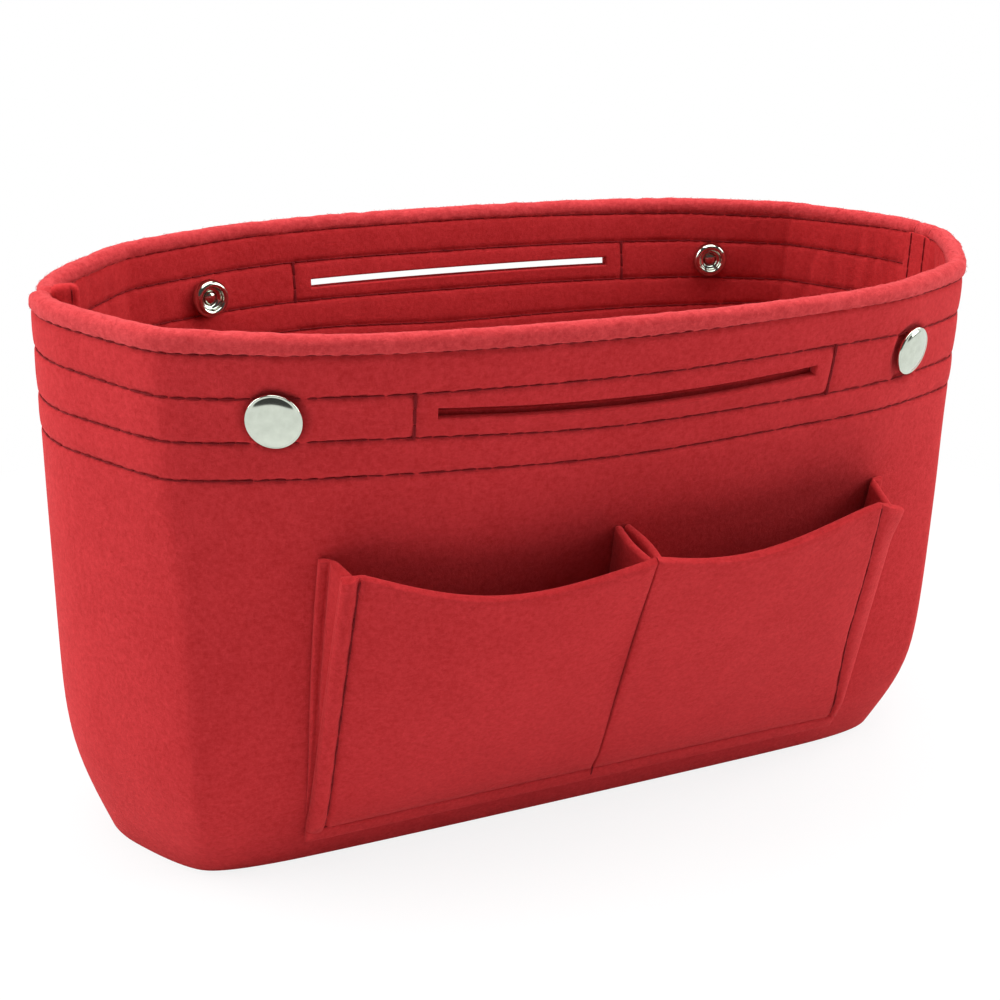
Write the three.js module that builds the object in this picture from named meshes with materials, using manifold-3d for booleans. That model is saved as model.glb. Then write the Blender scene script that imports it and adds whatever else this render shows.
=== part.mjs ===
// Felt organiser insert for a handbag: an open oval tub with a turned rim, hand slots,
// two bellows pockets on its front, slip pockets inside and four press studs.
// Millimetres, +Z up. The origin is the middle of the base, on the surface it stands on.
// The front faces -Y, the length runs along X.
import * as THREE from 'three';
import { mergeVertices } from 'three/addons/utils/BufferGeometryUtils.js';
import Module from 'manifold-3d';

const wasm = await Module();
wasm.setup();

// Tub: overall height, middle of the upper band, and the bend just above the base
const HEIGHT = 170;
const BAND_CENTRE = 149;
const KNEE_HEIGHT = 31.5;
const KNEE_SOFTNESS = 9;

// Half plan of the tub at the foot, the knee and the rim: reach of the end seam, place of the
// shoulder crease, bulge of the long wall and half width of the crease
const FOOT = { seam: 145, shoulderX: 118, shoulderY: 38.5, bulge: 40, crease: 8.5 };
const KNEE = { seam: 158, shoulderX: 119, shoulderY: 53, bulge: 49.8, crease: 4.5 };
const RIM = { seam: 149.3, shoulderX: 118, shoulderY: 47.5, bulge: 72, crease: 6 };
const FLANK = 0.55;

// Felt: wall, turned-in facing, and the gap that sewn layers keep
const FELT = 2.5;
const FACING = 2;
const GAP = 0.3;
const CURVE_GAP = 0.8;
const BASE_THICKNESS = 3;
const FACING_INSET = FELT + GAP;
const LINED_INSET = FACING_INSET + FACING + GAP;

// Rim: the felt folded over into a soft roll, with the facing turned down inside it
const ROLL_HEIGHT = 5.2;
const ROLL_BULGE = 0.9;
const ROLL_SIDES = 10;
const ROLL_STATIONS = 84;
const PANEL_TOP = HEIGHT - ROLL_HEIGHT - GAP;
const FACING_BOTTOM = 128;
const PANEL_HEIGHTS = [0, 9, 18, 27, 36, 48, 75, FACING_BOTTOM, BAND_CENTRE, PANEL_TOP];
const FACING_HEIGHTS = [FACING_BOTTOM, BAND_CENTRE, PANEL_TOP];

// Hand slots and press studs, centred in the upper band
const SLOT_HALF_LENGTH = 54;
const SLOT_SHIFT = 1.2;
const SLOT_HEIGHT = 2.6;
const SLOT_CUT_DEPTH = 60;
const SLOT_END_SEGMENTS = 4;
const STUD_X = 91.5;
const STUD_SIDES = 20;
const POST_RADIUS = 1.9;
const POST_BORE = 2.3;
const BORE_SIDES = 12;
const BORE_DEPTH = 30;

// Front pockets: one felt strip, sewn down at the hem and along three lines that lean in. Each line
// has its place along the length at the foot and at the top, and how far the strip stands off there
const OUTER_LINES = {
  left: { foot: -86, top: -80, opening: 14.5 },
  right: { foot: 93.5, top: 87, opening: 16 },
};
const MIDDLE_LINE = { foot: 4, top: 1.5, opening: 20 };
const POCKET_TOP = 110;
const POCKET_DIP = 9;
const POCKET_FOOT = 18;
const POCKET_FOOT_CLEARANCE = 1.6;
const POCKET_BULGE = 2;
const HEM_BOTTOM = 11.5;
const HEM_TOP = 17.5;
const GUSSET = 2;
const GUSSET_FOLD = 6;
const GUSSET_FOOT = 36;
const PLEAT_HALF_GAP = 0.4;

// Inner slip pockets: where their strips are sewn to the walls, and how far they stand off
const SLIP_FOOT = 34;
const SLIP_TOP = 116;
const SLIP_STANDOFF = 13;
const BACK_SEAMS = [-96, -58, -32, -6, 44, 96];
const FRONT_SEAMS = [-92, 0, 92];

// End seams: the joined allowance stands up on the left and is pressed flat on the right
const SEAM_FOOT = 6;
const SEAM_STEP = 4.5;
const SEAM_HEIGHTS = [
  SEAM_FOOT, 18, 27, 36, 48, 75, FACING_BOTTOM - SEAM_STEP, FACING_BOTTOM - GAP, PANEL_TOP,
];
const STANDING_SEAM = { halfWidth: 0.05, depth: 3.6 };
const PRESSED_SEAM = { halfWidth: 0.11, depth: 1.5 };

const RED_FELT = 0xb22f33;
const INNER_FELT = 0xa42a2d;
const NICKEL = 0xc9ccc2;

const FRONT = -1;
const BACK = 1;
const CONTROL_COUNT = 14;
const LEFT_SEAM = 0.5;
const RIGHT_SEAM = LEFT_SEAM + CONTROL_COUNT / 2;
const SEAM_TRIM = 0.004;
const BISECTIONS = 40;

// Facets of the felt pieces along and up each of them
const PANEL_COLUMNS = 42;
const BASE_STATIONS = 70;
const SEAM_COLUMNS = 4;
const COLUMNS_PER_SLIP = 6;
const SLIP_ROWS = 6;
const POCKET_COLUMNS = 12;
const POCKET_ROWS = 6;
const BELLOWS_COLUMNS = 4;
const BELLOWS_ROWS = 5;
const HEM_COLUMNS = 24;
const HEM_ROWS = 2;

const { lerp } = THREE.MathUtils;

// Plan sizes at one height: straight from foot to knee and from knee to rim, eased at the knee
function planAt(z) {
  const eased = KNEE_SOFTNESS * Math.log1p(Math.exp((z - KNEE_HEIGHT) / KNEE_SOFTNESS));
  const plan = {};
  for (const size of Object.keys(FOOT)) {
    const lowSlope = (KNEE[size] - FOOT[size]) / KNEE_HEIGHT;
    const highSlope = (RIM[size] - KNEE[size]) / (HEIGHT - KNEE_HEIGHT);
    plan[size] = FOOT[size] + lowSlope * z + (highSlope - lowSlope) * eased;
  }
  return plan;
}

// Control polygon of the plan: end seam, crease pair and flank, mirrored to all four quarters
function controlPolygon({ seam, shoulderX, shoulderY, bulge, crease }) {
  const end = new THREE.Vector2(seam, 0);
  const shoulder = new THREE.Vector2(shoulderX, shoulderY);
  const flank = new THREE.Vector2(shoulderX * FLANK, bulge);
  const towards = (goal) => goal.clone().sub(shoulder).setLength(crease).add(shoulder);
  const quarter = [towards(end), towards(flank), flank];
  const mirrored = (points, x, y) => points.map((p) => new THREE.Vector2(p.x * x, p.y * y));
  return [
    new THREE.Vector2(-seam, 0),
    ...mirrored(quarter, -1, -1),
    ...mirrored(quarter.toReversed(), 1, -1),
    end,
    ...mirrored(quarter, 1, 1),
    ...mirrored(quarter.toReversed(), -1, 1),
  ];
}

// Point of the tub wall: u counts control points from the left end seam round by the front,
// and inset moves the point square to the wall, into the tub
function wallPoint(u, z, inset) {
  const polygon = controlPolygon(planAt(z));
  const index = Math.floor(u);
  const corner = (step) => polygon[(index + step + CONTROL_COUNT) % CONTROL_COUNT];
  const start = corner(-1).clone().add(corner(0)).multiplyScalar(0.5);
  const end = corner(0).clone().add(corner(1)).multiplyScalar(0.5);
  const arc = new THREE.QuadraticBezierCurve(start, corner(0), end);
  const place = arc.getPoint(u - index);
  const tangent = arc.getTangent(u - index);
  return new THREE.Vector3(place.x - tangent.y * inset, place.y + tangent.x * inset, z);
}

// Point of the front or back wall at a given distance along the length
function facePoint(side, x, z, inset) {
  let low = LEFT_SEAM;
  let high = RIGHT_SEAM;
  for (let step = 0; step < BISECTIONS; step += 1) {
    const middle = (low + high) / 2;
    if (wallPoint(middle, z, inset).x < x) low = middle;
    else high = middle;
  }
  const point = wallPoint(low, z, inset);
  point.y *= -side;
  return point;
}

// Geometry from points and faces, turned so that its faces point out
function closedGeometry(points, faces) {
  const a = new THREE.Vector3();
  let volume = 0;
  for (const [i, j, k] of faces) volume += points[i].dot(a.crossVectors(points[j], points[k]));
  const turned = volume < 0 ? faces.map(([i, j, k]) => [i, k, j]) : faces;
  const geometry = new THREE.BufferGeometry().setFromPoints(points);
  geometry.setIndex(turned.flat());
  return geometry;
}

// Closed felt sheet: skin(s, t, layer) gives its face at layer 0 and its back at layer 1
function feltSheet(columns, rows, skin) {
  const points = [];
  for (const layer of [0, 1]) {
    for (let row = 0; row <= rows; row += 1) {
      for (let column = 0; column <= columns; column += 1) {
        points.push(skin(column / columns, row / rows, layer));
      }
    }
  }
  const at = (layer, row, column) => (layer * (rows + 1) + row) * (columns + 1) + column;
  const faces = [];
  const quad = (a, b, c, d) => faces.push([a, b, c], [a, c, d]);
  for (let row = 0; row < rows; row += 1) {
    for (let column = 0; column < columns; column += 1) {
      quad(at(0, row, column), at(0, row, column + 1), at(0, row + 1, column + 1), at(0, row + 1, column));
      quad(at(1, row, column), at(1, row + 1, column), at(1, row + 1, column + 1), at(1, row, column + 1));
    }
    quad(at(0, row, 0), at(0, row + 1, 0), at(1, row + 1, 0), at(1, row, 0));
    quad(at(0, row, columns), at(1, row, columns), at(1, row + 1, columns), at(0, row + 1, columns));
  }
  for (let column = 0; column < columns; column += 1) {
    quad(at(0, 0, column), at(1, 0, column), at(1, 0, column + 1), at(0, 0, column + 1));
    quad(at(0, rows, column), at(0, rows, column + 1), at(1, rows, column + 1), at(1, rows, column));
  }
  return closedGeometry(points, faces);
}

// Closed ring round the whole tub: section(angle) gives inset and height round its roll
function feltRing(stations, sides, section) {
  const points = [];
  const faces = [];
  for (let station = 0; station < stations; station += 1) {
    for (let side = 0; side < sides; side += 1) {
      const { inset, z } = section((2 * Math.PI * side) / sides);
      points.push(wallPoint((CONTROL_COUNT * station) / stations, z, inset));
    }
  }
  const at = (station, side) => (station % stations) * sides + (side % sides);
  for (let station = 0; station < stations; station += 1) {
    for (let side = 0; side < sides; side += 1) {
      faces.push([at(station, side), at(station + 1, side), at(station + 1, side + 1)]);
      faces.push([at(station, side), at(station + 1, side + 1), at(station, side + 1)]);
    }
  }
  return closedGeometry(points, faces);
}

function solidOf(geometry) {
  const bare = geometry.clone();
  bare.deleteAttribute('normal');
  bare.deleteAttribute('uv');
  const merged = mergeVertices(bare);
  const vertProperties = new Float32Array(merged.attributes.position.array);
  const triVerts = new Uint32Array(merged.index.array);
  return new wasm.Manifold(new wasm.Mesh({ numProp: 3, vertProperties, triVerts }));
}

// Piece with the given tools cut away from it
function cut(geometry, tools) {
  let solid = solidOf(geometry);
  for (const tool of tools) solid = solid.subtract(solidOf(tool));
  const { vertProperties, triVerts } = solid.getMesh();
  const result = new THREE.BufferGeometry();
  result.setAttribute('position', new THREE.BufferAttribute(new Float32Array(vertProperties), 3));
  result.setIndex(Array.from(triVerts));
  return result;
}

// Place on the outer face of a long wall with its Y axis square to the wall, pointing out
function studPlace(side, x) {
  const reach = 2;
  const centre = facePoint(side, x, BAND_CENTRE, 0);
  const along = facePoint(side, x + reach, BAND_CENTRE, 0).sub(facePoint(side, x - reach, BAND_CENTRE, 0));
  const up = facePoint(side, x, BAND_CENTRE + reach, 0).sub(facePoint(side, x, BAND_CENTRE - reach, 0));
  const out = new THREE.Vector3().crossVectors(along, up).multiplyScalar(-side).normalize();
  const turn = new THREE.Quaternion().setFromUnitVectors(new THREE.Vector3(0, 1, 0), out);
  return new THREE.Matrix4().compose(centre, turn, new THREE.Vector3(1, 1, 1));
}

// Cutting tools for one wall: the hand slot and the two holes of its press studs
function wallTools(side) {
  const slot = new THREE.Shape();
  const half = SLOT_HEIGHT / 2;
  slot.moveTo(-SLOT_HALF_LENGTH + half, -half);
  slot.lineTo(SLOT_HALF_LENGTH - half, -half);
  slot.absarc(SLOT_HALF_LENGTH - half, 0, half, -Math.PI / 2, Math.PI / 2);
  slot.lineTo(-SLOT_HALF_LENGTH + half, half);
  slot.absarc(-SLOT_HALF_LENGTH + half, 0, half, Math.PI / 2, (3 * Math.PI) / 2);
  const slotTool = new THREE.ExtrudeGeometry(slot, {
    depth: SLOT_CUT_DEPTH, bevelEnabled: false, curveSegments: SLOT_END_SEGMENTS,
  });
  slotTool.rotateX(Math.PI / 2);
  const wall = facePoint(side, 0, BAND_CENTRE, 0).y;
  slotTool.translate(-side * SLOT_SHIFT, wall + SLOT_CUT_DEPTH / 2, BAND_CENTRE);
  const holes = [-STUD_X, STUD_X].map((x) => {
    const hole = new THREE.CylinderGeometry(POST_BORE, POST_BORE, BORE_DEPTH, BORE_SIDES);
    return hole.applyMatrix4(studPlace(side, x));
  });
  return [slotTool, ...holes];
}

// Half shell of the tub between its end seams, pierced by the slot and the stud holes
function halfShell(side, heights, inset, thickness) {
  const first = side === FRONT ? LEFT_SEAM : RIGHT_SEAM;
  const from = first + SEAM_TRIM;
  const to = first + CONTROL_COUNT / 2 - SEAM_TRIM;
  const rows = heights.length - 1;
  const sheet = feltSheet(PANEL_COLUMNS, rows, (s, t, layer) => {
    const z = heights[Math.round(t * rows)];
    return wallPoint(lerp(from, to, s) % CONTROL_COUNT, z, inset + layer * thickness);
  });
  return cut(sheet, wallTools(side));
}

function baseGeometry() {
  const outline = [];
  for (let station = 0; station < BASE_STATIONS; station += 1) {
    const point = wallPoint((CONTROL_COUNT * station) / BASE_STATIONS, 0, FELT + GAP);
    outline.push(new THREE.Vector2(point.x, point.y));
  }
  return new THREE.ExtrudeGeometry(new THREE.Shape(outline), { depth: BASE_THICKNESS, bevelEnabled: false });
}

// The felt fold at the rim, a rounded roll over the tops of the wall and its facing
function rimGeometry() {
  const halfWidth = (FACING_INSET + FACING) / 2 + ROLL_BULGE;
  const middle = (FACING_INSET + FACING) / 2;
  return feltRing(ROLL_STATIONS, ROLL_SIDES, (angle) => ({
    inset: middle - halfWidth * Math.cos(angle),
    z: HEIGHT - ROLL_HEIGHT / 2 + (ROLL_HEIGHT / 2) * Math.sin(angle),
  }));
}

// Seam allowance inside one end, stepping inwards over the lower edge of the facing
function seamGeometry(seam, { halfWidth, depth }) {
  const rows = SEAM_HEIGHTS.length - 1;
  return feltSheet(SEAM_COLUMNS, rows, (s, t, layer) => {
    const z = SEAM_HEIGHTS[Math.round(t * rows)];
    const inset = CURVE_GAP - GAP + (z > FACING_BOTTOM - SEAM_STEP ? LINED_INSET : FACING_INSET);
    return wallPoint(seam + lerp(-halfWidth, halfWidth, s), z, inset + layer * depth);
  });
}

// Slip pocket strip inside one wall, sewn down at its seams and standing off between them
function slipGeometry(side, seams) {
  const columns = (seams.length - 1) * COLUMNS_PER_SLIP;
  return feltSheet(columns, SLIP_ROWS, (s, t, layer) => {
    const station = s * (seams.length - 1);
    const slip = Math.min(Math.floor(station), seams.length - 2);
    const share = station - slip;
    const width = seams[slip + 1] - seams[slip];
    const standoff = Math.min(SLIP_STANDOFF, width / 2) * Math.sin(Math.PI * share) * Math.sin((Math.PI * t) / 2);
    const x = lerp(seams[slip], seams[slip + 1], share);
    return facePoint(side, x, lerp(SLIP_FOOT, SLIP_TOP, t), FELT + CURVE_GAP + standoff + layer * FACING);
  });
}

// Point of a pocket front: share runs from its outer line to the middle one, rise from foot to top
function pocketPoint({ hand, outer }, share, rise, depth) {
  const gap = hand * PLEAT_HALF_GAP;
  const scoop = Math.sin(Math.PI * share);
  const opening = lerp(outer.opening, MIDDLE_LINE.opening, share);
  const footX = lerp(outer.foot, MIDDLE_LINE.foot + gap, share);
  const topX = lerp(outer.top, MIDDLE_LINE.top + gap, share);
  const foot = facePoint(FRONT, footX, POCKET_FOOT, -POCKET_FOOT_CLEARANCE);
  const top = facePoint(FRONT, topX, POCKET_TOP - POCKET_DIP * scoop, -opening);
  const point = foot.lerp(top, rise);
  point.y -= POCKET_BULGE * scoop * Math.sin(Math.PI * rise) + depth;
  return point;
}

function pocketGeometry(pocket) {
  return feltSheet(POCKET_COLUMNS, POCKET_ROWS, (s, t, layer) => pocketPoint(pocket, s, t, layer * FELT));
}

// Side of a bellows pocket along one of its lines, from the wall to just behind the pocket front,
// offset from the line and folded the same way, into the pocket
function bellowsGeometry(pocket, line, inward, offset, fold) {
  const lineX = ({ foot, top }, rise) => lerp(foot, top, rise);
  return feltSheet(BELLOWS_COLUMNS, BELLOWS_ROWS, (s, t, layer) => {
    const z = lerp(GUSSET_FOOT, POCKET_TOP - GAP, t);
    const rise = (z - POCKET_FOOT) / (POCKET_TOP - POCKET_FOOT);
    const x = lineX(line, rise) + inward * (offset + layer * GUSSET);
    const outerX = lineX(pocket.outer, rise);
    const middleX = lineX(MIDDLE_LINE, rise) + pocket.hand * PLEAT_HALF_GAP;
    const wall = facePoint(FRONT, x, z, -CURVE_GAP);
    const front = pocketPoint(pocket, (x - outerX) / (middleX - outerX), rise, 0);
    const folded = x + inward * fold * rise * Math.sin(Math.PI * s);
    return new THREE.Vector3(folded, lerp(wall.y, front.y + CURVE_GAP, s), z);
  });
}

// Hem that holds the foot of the pocket strip to the wall
function hemGeometry() {
  return feltSheet(HEM_COLUMNS, HEM_ROWS, (s, t, layer) => {
    const x = lerp(OUTER_LINES.left.foot, OUTER_LINES.right.foot, s);
    return facePoint(FRONT, x, lerp(HEM_BOTTOM, HEM_TOP, t), -CURVE_GAP - layer * FELT);
  });
}

// Press stud pieces, turned about the line through the wall: Y points out of the tub
function turned(profile) {
  return new THREE.LatheGeometry(profile.map(([r, y]) => new THREE.Vector2(r, y)), STUD_SIDES);
}

const CAP_PROFILE = [
  [0, -7], [POST_RADIUS, -7], [POST_RADIUS, 0.5], [6.8, 0.4], [7.4, 0.9], [7.5, 1.5],
  [7.1, 2.1], [6.5, 2.2], [5.2, 2.5], [2.8, 2.8], [0, 2.9],
];
const STUD_PROFILE = [
  [0, -9.9], [2.4, -9.8], [3.2, -9.2], [3.3, -8.4], [2.9, -7.4], [3.1, -6.8],
  [5.3, -6.6], [5.6, -6.2], [5.5, -5.6], [POST_BORE, -5.6], [POST_BORE, -8.4], [0, -8.6],
];
const SOCKET_PROFILE = [
  [POST_BORE, -5.6], [POST_BORE, -6.8], [3.5, -7], [3.6, -8.3], [4.4, -8.8],
  [5.2, -8.6], [5.8, -7.6], [6, -6.3], [5.7, -5.6], [POST_BORE, -5.6],
];

const insert = new THREE.Group();

function add(name, geometry, color, roughness, metalness) {
  const material = new THREE.MeshStandardMaterial({ color, roughness, metalness });
  const mesh = new THREE.Mesh(geometry, material);
  mesh.name = name;
  insert.add(mesh);
  return mesh;
}

function addFelt(name, geometry, color = RED_FELT) {
  add(name, geometry, color, 0.95, 0);
}

function addNickel(name, profile, side, x) {
  add(name, turned(profile), NICKEL, 0.22, 1).applyMatrix4(studPlace(side, x));
}

addFelt('front_panel', halfShell(FRONT, PANEL_HEIGHTS, 0, FELT));
addFelt('back_panel', halfShell(BACK, PANEL_HEIGHTS, 0, FELT));
addFelt('front_facing', halfShell(FRONT, FACING_HEIGHTS, FACING_INSET, FACING), INNER_FELT);
addFelt('back_facing', halfShell(BACK, FACING_HEIGHTS, FACING_INSET, FACING), INNER_FELT);
addFelt('base_panel', baseGeometry(), INNER_FELT);
addFelt('rim_fold', rimGeometry());
addFelt('seam_allowance_left', seamGeometry(LEFT_SEAM, STANDING_SEAM), INNER_FELT);
addFelt('seam_allowance_right', seamGeometry(RIGHT_SEAM, PRESSED_SEAM), INNER_FELT);
addFelt('slip_pocket_back', slipGeometry(BACK, BACK_SEAMS), INNER_FELT);
addFelt('slip_pocket_front', slipGeometry(FRONT, FRONT_SEAMS), INNER_FELT);
addFelt('pocket_hem', hemGeometry());

for (const [hand, name] of [[-1, 'left'], [1, 'right']]) {
  const pocket = { hand, outer: OUTER_LINES[name] };
  addFelt(`pocket_front_${name}`, pocketGeometry(pocket));
  addFelt(`gusset_${name}`, bellowsGeometry(pocket, pocket.outer, -hand, GAP, GUSSET_FOLD));
  addFelt(`pleat_${name}`, bellowsGeometry(pocket, MIDDLE_LINE, hand, PLEAT_HALF_GAP, 0));
  addNickel(`snap_cap_front_${name}`, CAP_PROFILE, FRONT, hand * STUD_X);
  addNickel(`snap_cap_back_${name}`, CAP_PROFILE, BACK, hand * STUD_X);
  addNickel(`snap_stud_${name}`, STUD_PROFILE, FRONT, hand * STUD_X);
  addNickel(`snap_socket_${name}`, SOCKET_PROFILE, BACK, hand * STUD_X);
}

export default insert;
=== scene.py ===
"""Looks of a felt handbag insert: an open tub with sewn bands, bellows pockets and press studs.

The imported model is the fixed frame. Every felt piece is built here again as a closed sheet of its
own thickness with rounded edges, sewn grooves and real thread. Lengths are millimetres until a
mesh is made.
"""

import logging
import math
from collections.abc import Callable, Sequence
from dataclasses import dataclass
from enum import Enum

import bpy
import numpy as np
from mathutils import Matrix


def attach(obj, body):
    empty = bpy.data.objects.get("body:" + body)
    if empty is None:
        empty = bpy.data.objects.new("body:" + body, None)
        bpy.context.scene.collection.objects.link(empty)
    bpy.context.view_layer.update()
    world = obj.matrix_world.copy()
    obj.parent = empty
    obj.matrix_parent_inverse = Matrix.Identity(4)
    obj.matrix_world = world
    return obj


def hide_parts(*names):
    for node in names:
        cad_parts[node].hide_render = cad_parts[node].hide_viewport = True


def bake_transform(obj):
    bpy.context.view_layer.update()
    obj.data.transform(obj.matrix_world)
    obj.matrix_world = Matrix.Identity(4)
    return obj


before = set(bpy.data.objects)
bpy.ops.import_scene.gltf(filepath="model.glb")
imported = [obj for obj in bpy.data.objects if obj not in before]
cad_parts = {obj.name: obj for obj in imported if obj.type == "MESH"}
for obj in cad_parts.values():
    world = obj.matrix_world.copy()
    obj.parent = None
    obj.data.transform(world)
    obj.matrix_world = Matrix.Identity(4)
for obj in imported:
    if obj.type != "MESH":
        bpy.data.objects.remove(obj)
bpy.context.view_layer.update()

Array = np.ndarray
LOG = logging.getLogger("felt_insert")
MM = 0.001
TUB = "tub"


class Side(Enum):
    """Long side of the tub, as the sign of its Y."""

    FRONT = -1
    BACK = 1


class Hand(Enum):
    """Half of the tub, as the sign of its X."""

    LEFT = -1
    RIGHT = 1


class Slot(Enum):
    """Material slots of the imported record."""

    RED_FELT = "red_felt"
    INNER_FELT = "inner_felt"
    NICKEL = "nickel"


def smooth_step(value: Array | float, low: float, high: float) -> Array:
    """Eased share of the way from low to high.

    Args:
        value: Where to read the share.
        low: Where the share is 0.
        high: Where the share is 1.

    Returns:
        The share, between 0 and 1.
    """
    share = np.clip((np.asarray(value, float) - low) / (high - low), 0.0, 1.0)
    return share * share * (3.0 - 2.0 * share)


def ridge(value: Array, centre: Array | float, width: float) -> Array:
    """Bell of height 1 round a centre line, width millimetres to each side."""
    return np.exp(-(((value - centre) / width) ** 2))


def unit(vectors: Array) -> Array:
    """Vectors of length 1 in the same directions."""
    return vectors / np.linalg.norm(vectors, axis=-1, keepdims=True)


def signed_power(value: Array, power: float) -> Array:
    """Power of a value that keeps its sign, which squares off a circle if it is below 1."""
    return np.sign(value) * np.abs(value) ** power


def rounding(distance: Array, radius: float) -> Array:
    """Share of the full thickness at a distance from a rounded edge."""
    return np.sqrt(1.0 - (1.0 - np.clip(distance / radius, 0.0, 1.0)) ** 2)


def soft_noise(place: Array, length: float, waves: int, seed: int) -> Array:
    """Smooth repeating noise along a line.

    Args:
        place: Distances along the line.
        length: Distance after which the noise repeats.
        waves: Highest number of waves in that length.
        seed: Seed of the noise.

    Returns:
        Noise of about unit size at each place.
    """
    rng = np.random.default_rng(seed)
    counts = np.unique(np.linspace(waves / 4, waves, 14).astype(int))
    phases = rng.uniform(0.0, 2.0 * math.pi, len(counts))
    weights = rng.uniform(0.5, 1.0, len(counts))
    angle = 2.0 * math.pi * np.asarray(place)[..., None] * counts / length + phases
    return (np.sin(angle) * weights).sum(-1) / math.sqrt((weights**2).sum() / 2.0) / 1.6


def ruled_lines(start: float, stop: float, step: float, fine: Sequence[float] = ()) -> Array:
    """Grid lines from start to stop with extra ones at fine places.

    Args:
        start: First line.
        stop: Last line.
        step: Widest spacing.
        fine: Places that need a line of their own.

    Returns:
        Rising line places.
    """
    same = 0.02
    keys = [start]
    for place in sorted(fine):
        if keys[-1] + same < place < stop - same:
            keys.append(place)
    keys.append(stop)
    lines = []
    for low, high in zip(keys, keys[1:]):
        count = max(1, math.ceil((high - low) / step))
        lines.extend(np.linspace(low, high, count, endpoint=False))
    return np.array([*lines, stop])


def edge_lines(start: float, stop: float, radius: float) -> list[float]:
    """Lines that round both edges of a sheet.

    Args:
        start: One edge.
        stop: Other edge.
        radius: Depth of the rounding.

    Returns:
        Places of the extra lines.
    """
    depths = [radius * share for share in (0.06, 0.25, 0.55, 1.0)]
    return [start + depth for depth in depths] + [stop - depth for depth in depths]


@dataclass
class Shell:
    """Points in millimetres and the faces over them, kept as one array for each corner count."""

    points: Array
    faces: list[Array]

    @staticmethod
    def joined(shells: Sequence["Shell"]) -> "Shell":
        """One shell that holds all the given ones."""
        faces = []
        start = 0
        for shell in shells:
            faces.extend(part + start for part in shell.faces)
            start += len(shell.points)
        return Shell(np.concatenate([shell.points for shell in shells]), faces)

    def volume(self) -> float:
        """Signed volume, which is below zero if the faces point in."""
        total = 0.0
        for part in self.faces:
            corners = self.points[part]
            for step in range(1, part.shape[1] - 1):
                cross = np.cross(corners[:, step], corners[:, step + 1])
                total += float((corners[:, 0] * cross).sum())
        return total / 6.0

    def to_object(self, name: str) -> bpy.types.Object:
        """Mesh object in metres, with its faces turned out and shaded smooth.

        Args:
            name: Name of the object.

        Returns:
            The object, linked to the scene.
        """
        faces = [part[:, ::-1] for part in self.faces] if self.volume() < 0.0 else self.faces
        used = np.unique(np.concatenate([part.ravel() for part in faces]))
        place = np.zeros(len(self.points), int)
        place[used] = np.arange(len(used))
        corners = np.concatenate([place[part].ravel() for part in faces])
        counts = np.concatenate([np.full(len(part), part.shape[1]) for part in faces])
        starts = np.concatenate([[0], np.cumsum(counts)[:-1]])
        mesh = bpy.data.meshes.new(name)
        mesh.vertices.add(len(used))
        mesh.vertices.foreach_set("co", (self.points[used] * MM).astype(np.float32).ravel())
        mesh.loops.add(len(corners))
        mesh.loops.foreach_set("vertex_index", corners.astype(np.int32))
        mesh.polygons.add(len(counts))
        mesh.polygons.foreach_set("loop_start", starts.astype(np.int32))
        mesh.polygons.foreach_set("use_smooth", np.ones(len(counts), bool))
        mesh.update(calc_edges=True)
        mesh.validate()
        piece = bpy.data.objects.new(name, mesh)
        bpy.context.scene.collection.objects.link(piece)
        return piece


def grid_faces(index: Array) -> Array:
    """Quads over a grid of point numbers."""
    return np.stack([index[:-1, :-1], index[:-1, 1:], index[1:, 1:], index[1:, :-1]], -1).reshape(-1, 4)


def tube_shell(points: Array) -> Shell:
    """Closed tubes over rings of points.

    Args:
        points: Points by tube, ring and side.

    Returns:
        Shell of all tubes.
    """
    index = np.arange(points[..., 0].size).reshape(points.shape[:3])
    wrapped = np.concatenate([index, index[:, :, :1]], -1)
    corners = [wrapped[:, :-1, :-1], wrapped[:, :-1, 1:], wrapped[:, 1:, 1:], wrapped[:, 1:, :-1]]
    ends = np.concatenate([index[:, 0, ::-1], index[:, -1]])
    return Shell(points.reshape(-1, 3), [np.stack(corners, -1).reshape(-1, 4), ends])


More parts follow.
